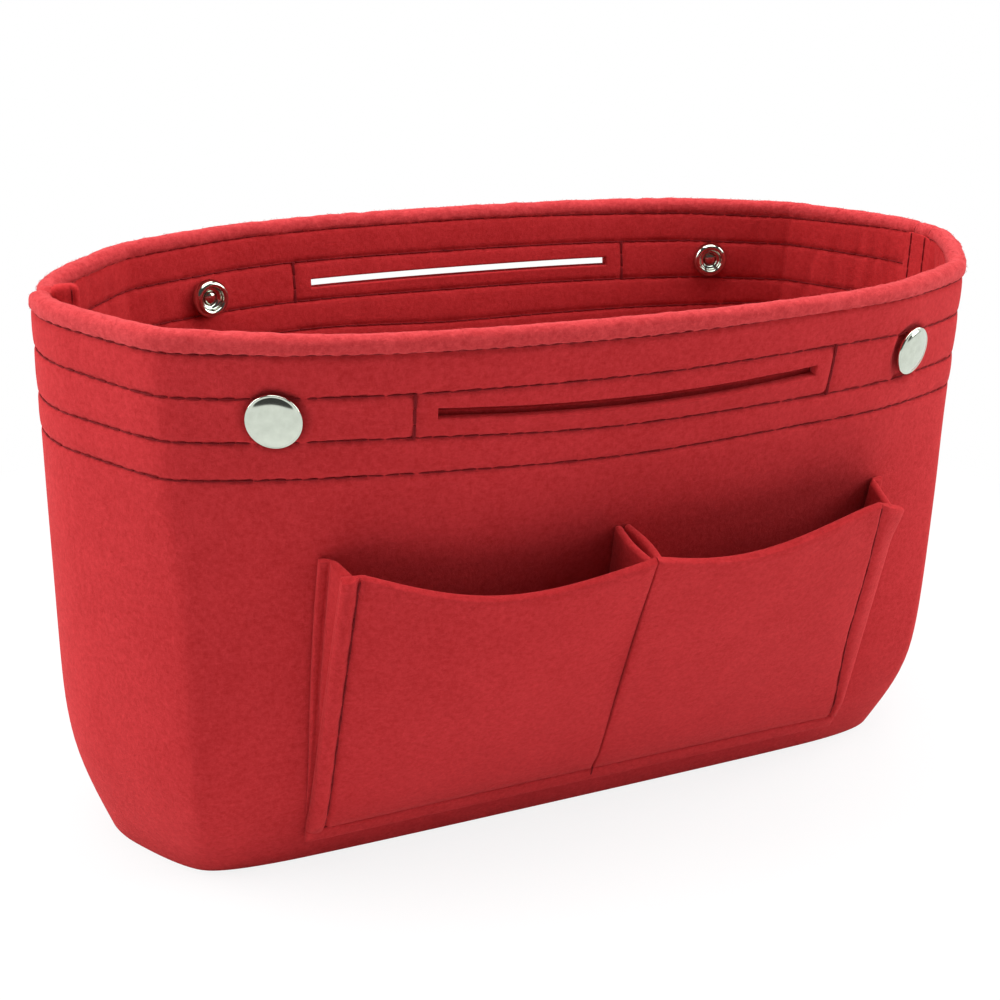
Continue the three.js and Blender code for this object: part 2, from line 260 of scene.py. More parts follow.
@dataclass
class FeltSheet:
    """Closed felt sheet over a grid of points in the middle of its thickness."""

    middle: Array
    across: Array
    along: Array
    thickness: Array | float
    edge_radius: float = 1.2
    cut: tuple[float, float, float, float] | None = None
    cut_radius: float = 0.4
    face_lift: Array | float = 0.0
    back_lift: Array | float = 0.0

    def normals(self) -> Array:
        """Unit normals of the middle surface, out of its face."""
        normal = np.cross(np.gradient(self.middle, axis=1), np.gradient(self.middle, axis=0))
        return unit(normal)

    def edge_distance(self) -> tuple[Array, Array]:
        """Distances of each grid point from the sheet's outer edge and from the slot cut in it."""
        a, b = np.meshgrid(self.across, self.along)
        outer = np.minimum.reduce([
            a - self.across[0], self.across[-1] - a, b - self.along[0], self.along[-1] - b,
        ])
        if self.cut is None:
            return outer, np.full_like(outer, np.inf)
        left, right, low, high = self.cut
        beside = np.maximum.reduce([left - a, a - right, np.zeros_like(a)])
        above = np.maximum.reduce([low - b, b - high, np.zeros_like(b)])
        return outer, np.hypot(beside, above)

    def flat_size(self) -> tuple[float, float, float]:
        """Width, length and area of the flat felt that the sheet was cut from, in metres."""
        width = np.linalg.norm(np.diff(self.middle, axis=1), axis=-1).sum(1).max()
        length = np.linalg.norm(np.diff(self.middle, axis=0), axis=-1).sum(0).max()
        first = self.middle[1:, 1:] - self.middle[:-1, :-1]
        second = self.middle[1:, :-1] - self.middle[:-1, 1:]
        area = np.linalg.norm(np.cross(first, second), axis=-1).sum() / 2.0
        return width * MM, length * MM, min(area, width * length) * MM * MM

    def shell(self) -> Shell:
        """Both faces of the sheet, joined along its rounded edges.

        Returns:
            Closed shell of the sheet.
        """
        outer, inner = self.edge_distance()
        normal = self.normals()
        share = np.minimum(rounding(outer, self.edge_radius), rounding(inner, self.cut_radius))
        half = np.broadcast_to(np.asarray(self.thickness) / 2.0, share.shape)
        face = self.middle + normal * ((half + self.face_lift) * share)[..., None]
        back = self.middle - normal * ((half + self.back_lift) * share)[..., None]
        rows, columns = share.shape
        face_index = np.arange(rows * columns).reshape(rows, columns)
        back_index = face_index + rows * columns
        edge = share < 1e-9
        back_index[edge] = face_index[edge]
        front_quads = grid_faces(face_index)
        back_quads = grid_faces(back_index)[:, ::-1]
        if self.cut is not None:
            left, right, low, high = self.cut
            a = (self.across[:-1] + self.across[1:]) / 2.0
            b = (self.along[:-1] + self.along[1:]) / 2.0
            open_column = (a > left) & (a < right)
            open_row = (b > low) & (b < high)
            kept = ~(open_row[:, None] & open_column[None, :]).ravel()
            front_quads = front_quads[kept]
            back_quads = back_quads[kept]
        points = np.concatenate([face.reshape(-1, 3), back.reshape(-1, 3)])
        return Shell(points, [front_quads, back_quads])


@dataclass(frozen=True)
class TubForm:
    """Form of the tub wall: an oval plan that swells above the base and opens towards the rim.

    Each plan holds the reach of the end seam, the place of the shoulder crease along and across
    the tub, the bulge of the long wall and the half width of the crease.
    """

    height: float = 170.0
    knee_height: float = 31.5
    knee_softness: float = 9.0
    foot: tuple[float, ...] = (145.0, 118.0, 38.5, 40.0, 8.5)
    knee: tuple[float, ...] = (158.0, 119.0, 53.0, 49.8, 4.5)
    rim: tuple[float, ...] = (149.3, 118.0, 47.5, 72.0, 6.0)
    flank: float = 0.55
    felt: float = 2.5
    facing: float = 2.0
    layer_gap: float = 0.3
    panel_top: float = 164.9
    band_foot: float = 128.0
    band_centre: float = 149.0
    rows: tuple[float, ...] = (164.9, 154.5, 141.8, 132.1)
    inner_rows: tuple[float, ...] = (166.4, 155.3, 142.6, 132.9)
    drift_shares: tuple[float, ...] = (0.0, 0.17, 0.28, 0.5, 0.67, 0.82, 1.0)
    front_drifts: tuple[tuple[float, ...], ...] = (
        (0.0, -0.4, 0.6, -0.1, 1.1, -0.2, 0.0),
        (0.0, -1.0, 0.0, -0.4, 0.8, -0.6, 0.0),
        (0.0, 0.3, 1.1, -1.9, -1.0, -1.0, 0.0),
        (0.0, 0.0, 0.6, -1.4, 0.0, -0.5, 0.0),
    )
    back_drifts: tuple[tuple[float, ...], ...] = (
        (0.0, -1.5, -1.2, -0.3, -0.3, -0.5, 0.0),
        (0.0, 0.0, 0.3, 0.8, 1.2, 1.0, 0.3),
        (0.0, -0.3, 0.0, 0.6, 1.2, 1.2, 0.3),
        (0.0, 0.4, -0.6, -0.8, 1.6, 0.6, 0.0),
    )
    wave_size: float = 0.35
    controls: int = 14
    left_seam: float = 0.5
    right_seam: float = 7.5
    stud_x: float = 91.5
    topstitch_offset: float = 4.3

    def sizes(self, z: Array) -> Array:
        """Plan sizes at each height, straight from foot to knee and from knee to rim."""
        foot, knee, rim = np.array(self.foot), np.array(self.knee), np.array(self.rim)
        eased = self.knee_softness * np.logaddexp(0.0, (z - self.knee_height) / self.knee_softness)
        low = (knee - foot) / self.knee_height
        high = (rim - knee) / (self.height - self.knee_height)
        return foot + low * z[..., None] + (high - low) * eased[..., None]

    def wave(self, u: Array, z: Array) -> Array:
        """Slight swell of the hand-cut felt, which dies out at the base and at the sewn band."""
        free = smooth_step(z, 4.0, 40.0) * (1.0 - smooth_step(z, 95.0, 130.0))
        angle = 2.0 * math.pi * u / self.controls
        swell = np.sin(5.0 * angle + 0.8) + 0.8 * np.sin(9.0 * angle + 0.03 * z) + 0.5 * np.sin(14.0 * angle)
        return self.wave_size * free * swell

    def wall(self, u: Array | float, z: Array | float, inset: Array | float = 0.0) -> Array:
        """Points of the wall.

        Args:
            u: Place round the plan, from the left end seam by the front.
            z: Height.
            inset: Distance square to the wall, into the tub.

        Returns:
            Points in millimetres.
        """
        u, z, inset = (np.asarray(part, float) for part in np.broadcast_arrays(u, z, inset))
        seam, shoulder_x, shoulder_y, bulge, crease = np.moveaxis(self.sizes(z), -1, 0)
        end = np.stack([seam, np.zeros_like(seam)], -1)
        shoulder = np.stack([shoulder_x, shoulder_y], -1)
        flank = np.stack([shoulder_x * self.flank, bulge], -1)

        def towards(goal: Array) -> Array:
            """Shoulder point moved by the crease towards a neighbour."""
            return shoulder + unit(goal - shoulder) * crease[..., None]

        quarter = [towards(end), towards(flank), flank]
        polygon = [end * (-1, 1)]
        polygon += [point * (-1, -1) for point in quarter]
        polygon += [point * (1, -1) for point in reversed(quarter)]
        polygon += [end]
        polygon += quarter
        polygon += [point * (-1, 1) for point in reversed(quarter)]
        corners = np.stack(polygon, -2)
        index = np.floor(u).astype(int)
        t = (u - index)[..., None]

        def corner(step: int) -> Array:
            """Control point beside each place."""
            chosen = ((index + step) % self.controls)[..., None, None]
            return np.take_along_axis(corners, chosen, -2)[..., 0, :]

        start = (corner(-1) + corner(0)) / 2.0
        stop = (corner(0) + corner(1)) / 2.0
        place = (1 - t) ** 2 * start + 2 * t * (1 - t) * corner(0) + t**2 * stop
        tangent = unit((1 - t) * (corner(0) - start) + t * (stop - corner(0)))
        depth = (inset - self.wave(u, z))[..., None]
        inward = np.stack([-tangent[..., 1], tangent[..., 0]], -1)
        return np.concatenate([place + inward * depth, z[..., None]], -1)

    def outward(self, u: Array | float, z: Array | float) -> Array:
        """Unit normals of the wall, out of the tub."""
        step_u, step_z = 0.01, 0.5
        along = self.wall(np.add(u, step_u), z) - self.wall(np.subtract(u, step_u), z)
        up = self.wall(u, np.add(z, step_z)) - self.wall(u, np.subtract(z, step_z))
        normal = np.cross(along, up)
        return unit(normal)

    def face_u(self, side: Side, x: Array | float, z: Array | float) -> Array:
        """Place round the plan of a point on a long side.

        Args:
            side: Front or back.
            x: Distance along the tub.
            z: Height.

        Returns:
            Places for the wall method.
        """
        x, z = (np.asarray(part, float) for part in np.broadcast_arrays(x, z))
        low = np.full(x.shape, self.left_seam)
        high = np.full(x.shape, self.right_seam)
        for _ in range(26):
            middle = (low + high) / 2.0
            short = self.wall(middle, z)[..., 0] < x
            low = np.where(short, middle, low)
            high = np.where(short, high, middle)
        return low if side is Side.FRONT else 2 * self.left_seam + self.controls - low

    def face(self, side: Side, x: Array | float, z: Array | float, inset: Array | float = 0.0) -> Array:
        """Points of a long side at given distances along the tub, square to the length.

        Args:
            side: Front or back.
            x: Distance along the tub.
            z: Height.
            inset: Distance from the wall, into the tub.

        Returns:
            Points in millimetres.
        """
        u = self.face_u(side, x, z)
        point = self.wall(u, z)
        return point + self.outward(u, z) * (1.0, 1.0, 0.0) * -np.asarray(inset, float)[..., None]

    def drift(self, side: Side, number: int, share: Array) -> Array:
        """How far a sewn row wanders from its height.

        Args:
            side: Front or back.
            number: Which row, from the top.
            share: Share of the way along that half of the tub.

        Returns:
            Millimetres up, at each share.
        """
        values = np.array((self.front_drifts if side is Side.FRONT else self.back_drifts)[number])
        shares = np.array(self.drift_shares)
        first = np.clip(np.searchsorted(shares, share, side="right") - 1, 0, len(shares) - 2)
        eased = smooth_step((share - shares[first]) / (shares[first + 1] - shares[first]), 0.0, 1.0)
        return values[first] + (values[first + 1] - values[first]) * eased

    def arc(self, start: float, stop: float, z: float) -> tuple[Array, Array]:
        """Table of places round the plan and the distance walked to each of them at one height."""
        places = np.linspace(start, stop, 2401)
        steps = np.linalg.norm(np.diff(self.wall(places, z), axis=0), axis=-1)
        return places, np.concatenate([[0.0], np.cumsum(steps)])

    def span(self, side: Side) -> tuple[float, float]:
        """Places of the end seams that bound one half of the tub."""
        if side is Side.FRONT:
            return self.left_seam, self.right_seam
        return self.right_seam, self.left_seam + self.controls


class NodePen:
    """Writes shader nodes into a tree."""

    def seen_rays(self) -> tuple[bpy.types.NodeSocket, bpy.types.NodeSocket]:
        """Masks of the rays that see a white surface, and of those straight from the camera."""
        light = self.node("ShaderNodeLightPath").outputs
        shown = self.math("MAXIMUM", light["Is Glossy Ray"], light["Is Transmission Ray"])
        return self.math("MAXIMUM", shown, light["Is Camera Ray"]), light["Is Camera Ray"]

    def __init__(self, tree: bpy.types.NodeTree) -> None:
        """Starts writing in an empty tree."""
        self.tree = tree
        tree.nodes.clear()

    def node(self, kind: str, **settings: object) -> bpy.types.Node:
        """New node with its settings and its input values.

        Args:
            kind: Type name of the node.
            settings: Node properties, or inputs written as in_ and the socket's name or number.

        Returns:
            The node.
        """
        made = self.tree.nodes.new(kind)
        for key, value in settings.items():
            if not key.startswith("in_"):
                setattr(made, key, value)
        for key, value in settings.items():
            if key.startswith("in_"):
                name = key[3:].replace("_", " ")
                socket = made.inputs[int(name)] if name.isdigit() else made.inputs[name]
                if isinstance(value, bpy.types.NodeSocket):
                    self.tree.links.new(value, socket)
                else:
                    socket.default_value = value
        return made

    def math(self, operation: str, first: object, second: object = 0.0) -> bpy.types.NodeSocket:
        """Result of a sum on two values."""
        return self.node("ShaderNodeMath", operation=operation, in_0=first, in_1=second).outputs[0]


def new_group(
    name: str, inputs: dict[str, str], outputs: dict[str, str],
) -> tuple[bpy.types.NodeTree, NodePen]:
    """Empty shader node group.

    Args:
        name: Name of the group.
        inputs: Socket types by input name.
        outputs: Socket types by output name.

    Returns:
        The group and a pen in it.
    """
    group = bpy.data.node_groups.new(name, "ShaderNodeTree")
    for label, kind in inputs.items():
        group.interface.new_socket(label, in_out="INPUT", socket_type=kind)
    for label, kind in outputs.items():
        group.interface.new_socket(label, in_out="OUTPUT", socket_type=kind)
    return group, NodePen(group)


def felt_nap_group() -> bpy.types.NodeTree:
    """Needled felt: crossed fibres, mottled nap and slow shade changes, as a colour and a height."""
    inputs = {"Deep": "NodeSocketColor", "Light": "NodeSocketColor", "Contrast": "NodeSocketFloat"}
    outputs = {"Color": "NodeSocketColor", "Height": "NodeSocketFloat"}
    group, pen = new_group("felt_nap", inputs, outputs)
    given = pen.node("NodeGroupInput")
    place = pen.node("ShaderNodeTexCoord").outputs["Object"]

    def noise(
        vector: bpy.types.NodeSocket, scale: float, detail: float, curl: float = 0.0,
    ) -> bpy.types.NodeSocket:
        """Value of a noise texture."""
        made = pen.node(
            "ShaderNodeTexNoise",
            in_Vector=vector,
            in_Scale=scale,
            in_Detail=detail,
            in_Roughness=0.62,
            in_Distortion=curl,
        )
        return made.outputs["Fac"]

    fibres = []
    lays = (((0.3, 0.2, 0.4), (1, 3, 3)), ((0.9, 1.3, 0.2), (3, 1, 3)), ((0.5, 0.7, 1.9), (3, 3, 1)))
    for turn, stretch in lays:
        laid = pen.node(
            "ShaderNodeMapping", in_Vector=place, in_Rotation=turn, in_Scale=[420.0 * s for s in stretch],
        ).outputs[0]
        fibres.append(noise(laid, 1.0, 2.0, 2.0))
    fibre = pen.math("MAXIMUM", pen.math("MAXIMUM", fibres[0], fibres[1]), fibres[2])
    mottle = noise(place, 700.0, 4.0)
    patch = noise(place, 85.0, 2.0)
    shade = noise(place, 16.0, 1.0)
    parts = ((fibre, 0.62, 1.7), (mottle, 0.5, 1.6), (patch, 0.5, 0.45), (shade, 0.5, 0.3))
    total = None
    for value, centre, weight in parts:
        share = pen.math("MULTIPLY", pen.math("SUBTRACT", value, centre), weight)
        total = share if total is None else pen.math("ADD", total, share)
    spread = pen.math("MULTIPLY", total, given.outputs["Contrast"])
    factor = pen.node("ShaderNodeMath", operation="ADD", use_clamp=True, in_0=spread, in_1=0.5).outputs[0]
    colour = pen.node("ShaderNodeMix", data_type="RGBA", in_0=factor)
    pen.tree.links.new(given.outputs["Deep"], colour.inputs[6])
    pen.tree.links.new(given.outputs["Light"], colour.inputs[7])
    height = pen.math("ADD", pen.math("MULTIPLY", fibre, 0.7), pen.math("MULTIPLY", mottle, 0.6))
    pen.node("NodeGroupOutput", in_Color=colour.outputs[2], in_Height=height)
    return group


def new_material(name: str) -> tuple[bpy.types.Material, NodePen]:
    """Empty material and a pen in it."""
    made = bpy.data.materials.new(name)
    made.use_nodes = True
    return made, NodePen(made.node_tree)


@dataclass(frozen=True)
class FeltFinish:
    """Matt needled felt in one colour."""

    name: str
    deep: tuple[float, float, float]
    light: tuple[float, float, float]
    contrast: float = 1.0
    sheen: float = 0.16
    sheen_tint: tuple[float, float, float] = (1.0, 0.22, 0.22)

    def material(self, nap: bpy.types.NodeTree) -> bpy.types.Material:
        """Material of the felt, with its nap from the shared group.

        Args:
            nap: The felt nap group.

        Returns:
            The material.
        """
        made, pen = new_material(self.name)
        fibre = pen.node("ShaderNodeGroup", node_tree=nap)
        fibre.inputs["Deep"].default_value = (*self.deep, 1.0)
        fibre.inputs["Light"].default_value = (*self.light, 1.0)
        fibre.inputs["Contrast"].default_value = self.contrast
        bump = pen.node(
            "ShaderNodeBump", in_Strength=0.4, in_Distance=0.0006, in_Height=fibre.outputs["Height"],
        )
        shader = pen.node(
            "ShaderNodeBsdfPrincipled",
            in_Base_Color=fibre.outputs["Color"],
            in_Roughness=0.95,
            in_Normal=bump.outputs[0],
        )
        shader.inputs["Specular IOR Level"].default_value = 0.06
        shader.inputs["Sheen Weight"].default_value = self.sheen
        shader.inputs["Sheen Roughness"].default_value = 0.45
        shader.inputs["Sheen Tint"].default_value = (*self.sheen_tint, 1.0)
        pen.node("ShaderNodeOutputMaterial", in_Surface=shader.outputs[0])
        return made


@dataclass(frozen=True)
class ThreadFinish:
    """Twisted sewing thread, darker than the felt."""

    name: str = "dark_red_thread"
    dark: tuple[float, float, float] = (0.15, 0.008, 0.01)
    light: tuple[float, float, float] = (0.23, 0.012, 0.016)

    def material(self) -> bpy.types.Material:
        """Material of the thread, with a fine twist."""
        made, pen = new_material(self.name)
        place = pen.node("ShaderNodeTexCoord").outputs["Object"]
        turned = pen.node("ShaderNodeMapping", in_Vector=place, in_Rotation=(0.4, 0.6, 0.7)).outputs[0]
        twist = pen.node("ShaderNodeTexWave", in_Vector=turned, in_Scale=900.0, in_Distortion=2.0)
        ramp = pen.node("ShaderNodeValToRGB", in_Fac=twist.outputs["Fac"])
        ramp.color_ramp.elements[0].color = (*self.dark, 1.0)
        ramp.color_ramp.elements[1].color = (*self.light, 1.0)
        bump = pen.node(
            "ShaderNodeBump", in_Strength=0.4, in_Distance=0.0001, in_Height=twist.outputs["Fac"],
        )
        shader = pen.node(
            "ShaderNodeBsdfPrincipled",
            in_Base_Color=ramp.outputs[0],
            in_Roughness=0.8,
            in_Normal=bump.outputs[0],
        )
        shader.inputs["Specular IOR Level"].default_value = 0.1
        pen.node("ShaderNodeOutputMaterial", in_Surface=shader.outputs[0])
        return made


@dataclass(frozen=True)
class NickelFinish:
    """Polished nickel plate with fine handling marks."""

    name: str = "polished_nickel"
    colour: tuple[float, float, float] = (0.62, 0.67, 0.58)

    def material(self) -> bpy.types.Material:
        """Material of the nickel, smudged and very slightly uneven."""
        made, pen = new_material(self.name)
        place = pen.node("ShaderNodeTexCoord").outputs["Object"]
        smudge = pen.node("ShaderNodeTexNoise", in_Vector=place, in_Scale=420.0, in_Detail=4.0)
        tone = pen.node("ShaderNodeValToRGB", in_Fac=smudge.outputs["Fac"])
        tone.color_ramp.elements[0].position = 0.3
        tone.color_ramp.elements[0].color = (*(0.94 * part for part in self.colour), 1.0)
        tone.color_ramp.elements[1].position = 0.7
        tone.color_ramp.elements[1].color = (*(1.05 * part for part in self.colour), 1.0)
        rough = pen.node("ShaderNodeMapRange", in_Value=smudge.outputs["Fac"])
        rough.inputs["To Min"].default_value = 0.09
        rough.inputs["To Max"].default_value = 0.17
        dent = pen.node("ShaderNodeTexNoise", in_Vector=place, in_Scale=260.0, in_Detail=1.0)
        bump = pen.node(
            "ShaderNodeBump", in_Strength=0.05, in_Distance=0.0003, in_Height=dent.outputs["Fac"],
        )
        shader = pen.node(
            "ShaderNodeBsdfPrincipled",
            in_Base_Color=tone.outputs[0],
            in_Metallic=1.0,
            in_Roughness=rough.outputs[0],
            in_Normal=bump.outputs[0],
        )
        pen.node("ShaderNodeOutputMaterial", in_Surface=shader.outputs[0])
        return made


@dataclass(frozen=True)
class Wardrobe:
    """The finished materials, made once."""

    outer: bpy.types.Material
    inner: bpy.types.Material
    # Rim felt: the wall felt painted lighter and pinker, as painted light from the top lamp on the roll.
    rim_lit_felt: bpy.types.Material
    thread: bpy.types.Material
    nickel: bpy.types.Material

    @staticmethod
    def made() -> "Wardrobe":
        """All materials of the insert."""
        nap = felt_nap_group()
        outer = FeltFinish("red_felt", (0.37, 0.018, 0.02), (0.52, 0.035, 0.04))
        inner = FeltFinish("inner_red_felt", (0.39, 0.017, 0.019), (0.54, 0.034, 0.038))
        # The rim roll is the same red felt as the walls. Its lighter, pinker colour is painted light where
        # the top lamp falls on the roll, on top of its stronger sheen.
        rim_lit_felt = FeltFinish(
            "red_felt_rim_painted_light", (0.41, 0.027, 0.03), (0.61, 0.062, 0.067), sheen=0.28,
            sheen_tint=(1.0, 0.28, 0.28),
        )
        felts = [finish.material(nap) for finish in (outer, inner, rim_lit_felt)]
        return Wardrobe(*felts, ThreadFinish().material(), NickelFinish().material())


def dress(
    piece: bpy.types.Object, material: bpy.types.Material, nodes: Sequence[str] = (),
) -> bpy.types.Object:
    """Gives a piece its finish and hides the CAD nodes that it stands for.

    Args:
        piece: The piece.
        material: Its finish.
        nodes: CAD nodes that it stands for.

    Returns:
        The piece.
    """
    piece.data.materials.append(material)
    if nodes:
        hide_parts(*nodes)
    LOG.info("%s: %d faces", piece.name, len(piece.data.polygons))
    return piece


@dataclass(frozen=True)
class Stitching:
    """Machine stitches as short pieces of thread that dive into the felt at both ends."""

    pitch: float = 4.0
    radius: float = 0.23
    sides: int = 6
    crown: float = 0.06
    dive: float = 0.16
    fill: float = 0.97
    stations: tuple[float, ...] = (-0.5, -0.38, 0.0, 0.38, 0.5)
    fullness: tuple[float, ...] = (0.75, 0.95, 1.0, 0.95, 0.75)

    def run(self, path: Array, outward: Array, seed: int) -> Shell:
        """Thread of one sewn line.

        Args:
            path: Points along the line, at the height of the felt there.
            outward: Direction out of the felt at each point.
            seed: Seed of the small differences between stitches.

        Returns:
            Shell of all its stitches.
        """
        rng = np.random.default_rng(seed)
        walked = np.concatenate([[0.0], np.cumsum(np.linalg.norm(np.diff(path, axis=0), axis=-1))])
        count = max(1, round(walked[-1] / self.pitch))
        pitch = walked[-1] / count
        centres = (np.arange(count) + 0.5) * pitch + rng.normal(0.0, 0.08, count)
        stations = np.array(self.stations)
        at = centres[:, None] + stations * self.fill * pitch

        def along(values: Array) -> Array:
            """Values read at the places of the rings."""
            return np.stack([np.interp(at, walked, values[:, axis]) for axis in range(3)], -1)

        lifted = self.crown - self.dive * (2.0 * np.abs(stations)) ** 3
        out = along(outward)
        rings = along(path) + out * lifted[:, None]
        heading = unit(rings[:, -1] - rings[:, 0])
        beside = np.cross(heading[:, None], out)
        sway = rng.normal(0.0, 0.06, (count, 1, 1)) * (stations / 0.5)[None, :, None]
        rings = rings + beside * sway
        size = self.radius * np.array(self.fullness) * rng.uniform(0.92, 1.08, (count, 1))
        angles = 2.0 * math.pi * np.arange(self.sides) / self.sides
        ring = np.cos(angles)[:, None] * out[:, :, None] + np.sin(angles)[:, None] * beside[:, :, None]
        return tube_shell(rings[:, :, None] + ring * size[..., None, None])


def felt_nubs(shape: tuple[int, int], seed: int) -> Array:
    """Small lumps of the rim's felt over a closed grid.

    Args:
        shape: Points of the grid both ways.
        seed: Seed of the lumps.

    Returns:
        Lumps of about unit height.
    """
    lumps = np.random.default_rng(seed).normal(size=shape)
    for axis in (0, 1, 0, 1):
        lumps = (np.roll(lumps, 1, axis) + 2.0 * lumps + np.roll(lumps, -1, axis)) / 4.0
    return lumps / lumps.std()


@dataclass(frozen=True)
class Fuzz:
    """Loose fibre ends that stand out of napped felt, each a thin bent hair."""

    shortest: float = 0.5
    longest: float = 1.0
    radius: float = 0.045
    sides: int = 3

    def hairs(self, roots: Array, outward: Array, seed: int) -> Shell:
        """Hairs that grow out of the felt.

        Args:
            roots: Points on the felt.
            outward: Direction out of the felt at each of them.
            seed: Seed of their lengths and bends.

        Returns:
            Shell of all hairs.
        """
        rng = np.random.default_rng(seed)
        count = len(roots)
        lean = rng.normal(size=(count, 3))
        lean = unit(lean - outward * (lean * outward).sum(-1, keepdims=True))
        beside = np.cross(outward, lean)
        length = rng.uniform(self.shortest, self.longest, (count, 1))
        rise = rng.uniform(0.15, 0.6, (count, 1))
        along = np.array([0.0, 0.4, 0.75, 1.0])
        up = length * rise * np.sin(0.5 * math.pi * along) - 0.1
        away = length * along**1.4
        curl = length * rng.normal(0.0, 0.25, (count, 1)) * along**2
        path = roots[:, None] + up[..., None] * outward[:, None]
        path = path + away[..., None] * lean[:, None] + curl[..., None] * beside[:, None]
        heading = unit(path[:, -1] - path[:, 0])
        above = np.cross(heading, beside)
        angles = 2.0 * math.pi * np.arange(self.sides) / self.sides
        ring = np.cos(angles)[:, None] * beside[:, None] + np.sin(angles)[:, None] * above[:, None]
        size = self.radius * np.array([1.0, 0.9, 0.7, 0.3])
        return tube_shell(path[:, :, None] + ring[:, None] * size[:, None, None])


@dataclass(frozen=True)
class TubWalls:
    """Outer panels and inner facings of the tub, with their hand slots and sewn rows."""

    form: TubForm
    column_step: float = 1.5
    row_step: float = 4.5
    band_step: float = 1.3
    slot_half_length: float = 54.0
    slot_shift: float = 1.2
    slot_height: float = 2.6
    slot_sag: float = 2.0
    lip_pull: float = 1.3
    front_overlap: float = 1.4
    bar_x: float = 59.9
    bar_half_width: float = 0.2
    dimple_depth: float = 0.75
    dimple_rim: float = 0.3
    groove_depth: float = 0.6
    groove_width: float = 0.8
    pillow: float = 0.22
    inner_relief: float = 0.8
    wrinkle_depth: float = 1.2
    wrinkle_fade: float = 55.0
    wrinkle_places: tuple[float, ...] = (9.0, 14.0, 20.0, 26.5, 34.0, 43.0, 53.0, 65.0, 79.0)

    def columns(self, side: Side) -> tuple[Array, Array, tuple[float, float]]:
        """Grid lines along one half of the tub.

        Args:
            side: Front or back.

        Returns:
            Distances along the wall, their places round the plan, and the ends of the hand slot.
        """
        form = self.form
        trim = 0.12
        places, walked = form.arc(*form.span(side), form.band_centre)
        ends = sorted(self.distances(side, self.slot_half_length, self.slot_centre(side)))
        fine = edge_lines(trim, walked[-1] - trim, 1.2)
        for end in ends:
            fine += [end + shift for shift in (-0.5, -0.25, -0.1, -0.03, 0.0, 0.03, 0.1, 0.25, 0.5)]
        for stud in self.studs(side):
            fine += [stud + shift for shift in np.linspace(-9.6, 9.6, 25)]
        for bar in self.bars(side):
            fine += [bar + shift for shift in (-1.4, -0.7, 0.0, 0.7, 1.4)]
        lines = ruled_lines(trim, walked[-1] - trim, self.column_step, fine)
        return lines, np.interp(lines, walked, places), (ends[0], ends[1])

    def slot_centre(self, side: Side) -> float:
        """Middle of a hand slot along the tub: the same pattern, turned round for the back."""
        return -side.value * self.slot_shift

    def distances(self, side: Side, reach: float, centre: float) -> list[float]:
        """Distances along the wall of two places that lie to the left and right of a centre.

        Args:
            side: Front or back.
            reach: Distance of each place from the centre.
            centre: Middle between them along the tub.

        Returns:
            Both distances.
        """
        form = self.form
        places, walked = form.arc(*form.span(side), form.band_centre)
        u = form.face_u(side, centre + np.array([-1.0, 1.0]) * reach, form.band_centre)
        return [float(distance) for distance in np.interp(u, places, walked)]

    def bars(self, side: Side) -> list[float]:
        """Distances along the wall of the short bars sewn beside the hand slot."""
        return self.distances(side, self.bar_x, self.slot_centre(side))

    def studs(self, side: Side) -> list[float]:
        """Distances along the wall of the press studs."""
        return self.distances(side, self.form.stud_x, 0.0)

    def slot_edges(self, overlap: float) -> tuple[float, float]:
        """Heights of the lower and upper lip of a hand slot, the lower one raised by an overlap."""
        half = self.slot_height / 2.0
        return self.form.band_centre - half + overlap, self.form.band_centre + half

    def heights(self, low: float, high: float, rows: Sequence[float], lips: Sequence[float]) -> Array:
        """Grid lines up the wall, close together at the sewn rows and the hand slot.

        Args:
            low: Lower edge.
            high: Upper edge.
            rows: Heights of the sewn rows.
            lips: Heights of the lips of the slot.

        Returns:
            Heights of the lines.
        """
        form = self.form
        fine = edge_lines(low, high, 1.2)
        for row in rows:
            fine += [row + shift for shift in (-2.2, -1.3, -0.75, -0.35, 0.0, 0.35, 0.75, 1.3, 2.2)]
        for lip in lips:
            fine += [lip + shift for shift in (-0.9, -0.5, -0.25, -0.1, -0.03)]
            fine += [lip + shift for shift in (0.0, 0.03, 0.1, 0.25, 0.5, 0.9)]
        fine_foot = form.band_foot - 4.0
        body = ruled_lines(low, high, self.row_step, fine) if low < fine_foot else np.array([low, high])
        band = [z for z in ruled_lines(fine_foot, high, self.band_step, fine) if z >= low]
        lines = [*body[body < fine_foot], *band, low, high]
        return np.array(sorted({round(float(z), 4) for z in lines}))

    def sewn_relief(self, side: Side, across: Array, z: Array, rows: Sequence[float]) -> Array:
        """Relief that the sewing presses into the band: grooves at the rows and pillows between.

        Args:
            side: Front or back.
            across: Distances along the wall.
            z: Heights.
            rows: Heights of the sewn rows.

        Returns:
            Height of the relief over the grid of both.
        """
        a, b = np.meshgrid(across, z)
        relief = np.zeros_like(a)
        pucker = 1.0 + 0.3 * np.cos(2.0 * math.pi * a / Stitching.pitch) + 0.25 * soft_noise(a, 700.0, 90, 3)
        for row in rows:
            relief -= self.groove_depth * pucker * ridge(b, row, self.groove_width)
        for low, high in zip(rows[1:], rows):
            share = np.clip((b - low) / (high - low), 0.0, 1.0)
            relief += self.pillow * np.sin(math.pi * share) * (1.0 + 0.35 * soft_noise(a, 700.0, 60, 11))
        between = smooth_step(b, rows[2] - 0.5, rows[2] + 0.5)
        between *= 1.0 - smooth_step(b, rows[1] - 0.5, rows[1] + 0.5)
        for bar in self.bars(side):
            relief -= 0.8 * self.groove_depth * between * ridge(a, bar, 0.9)
        return relief

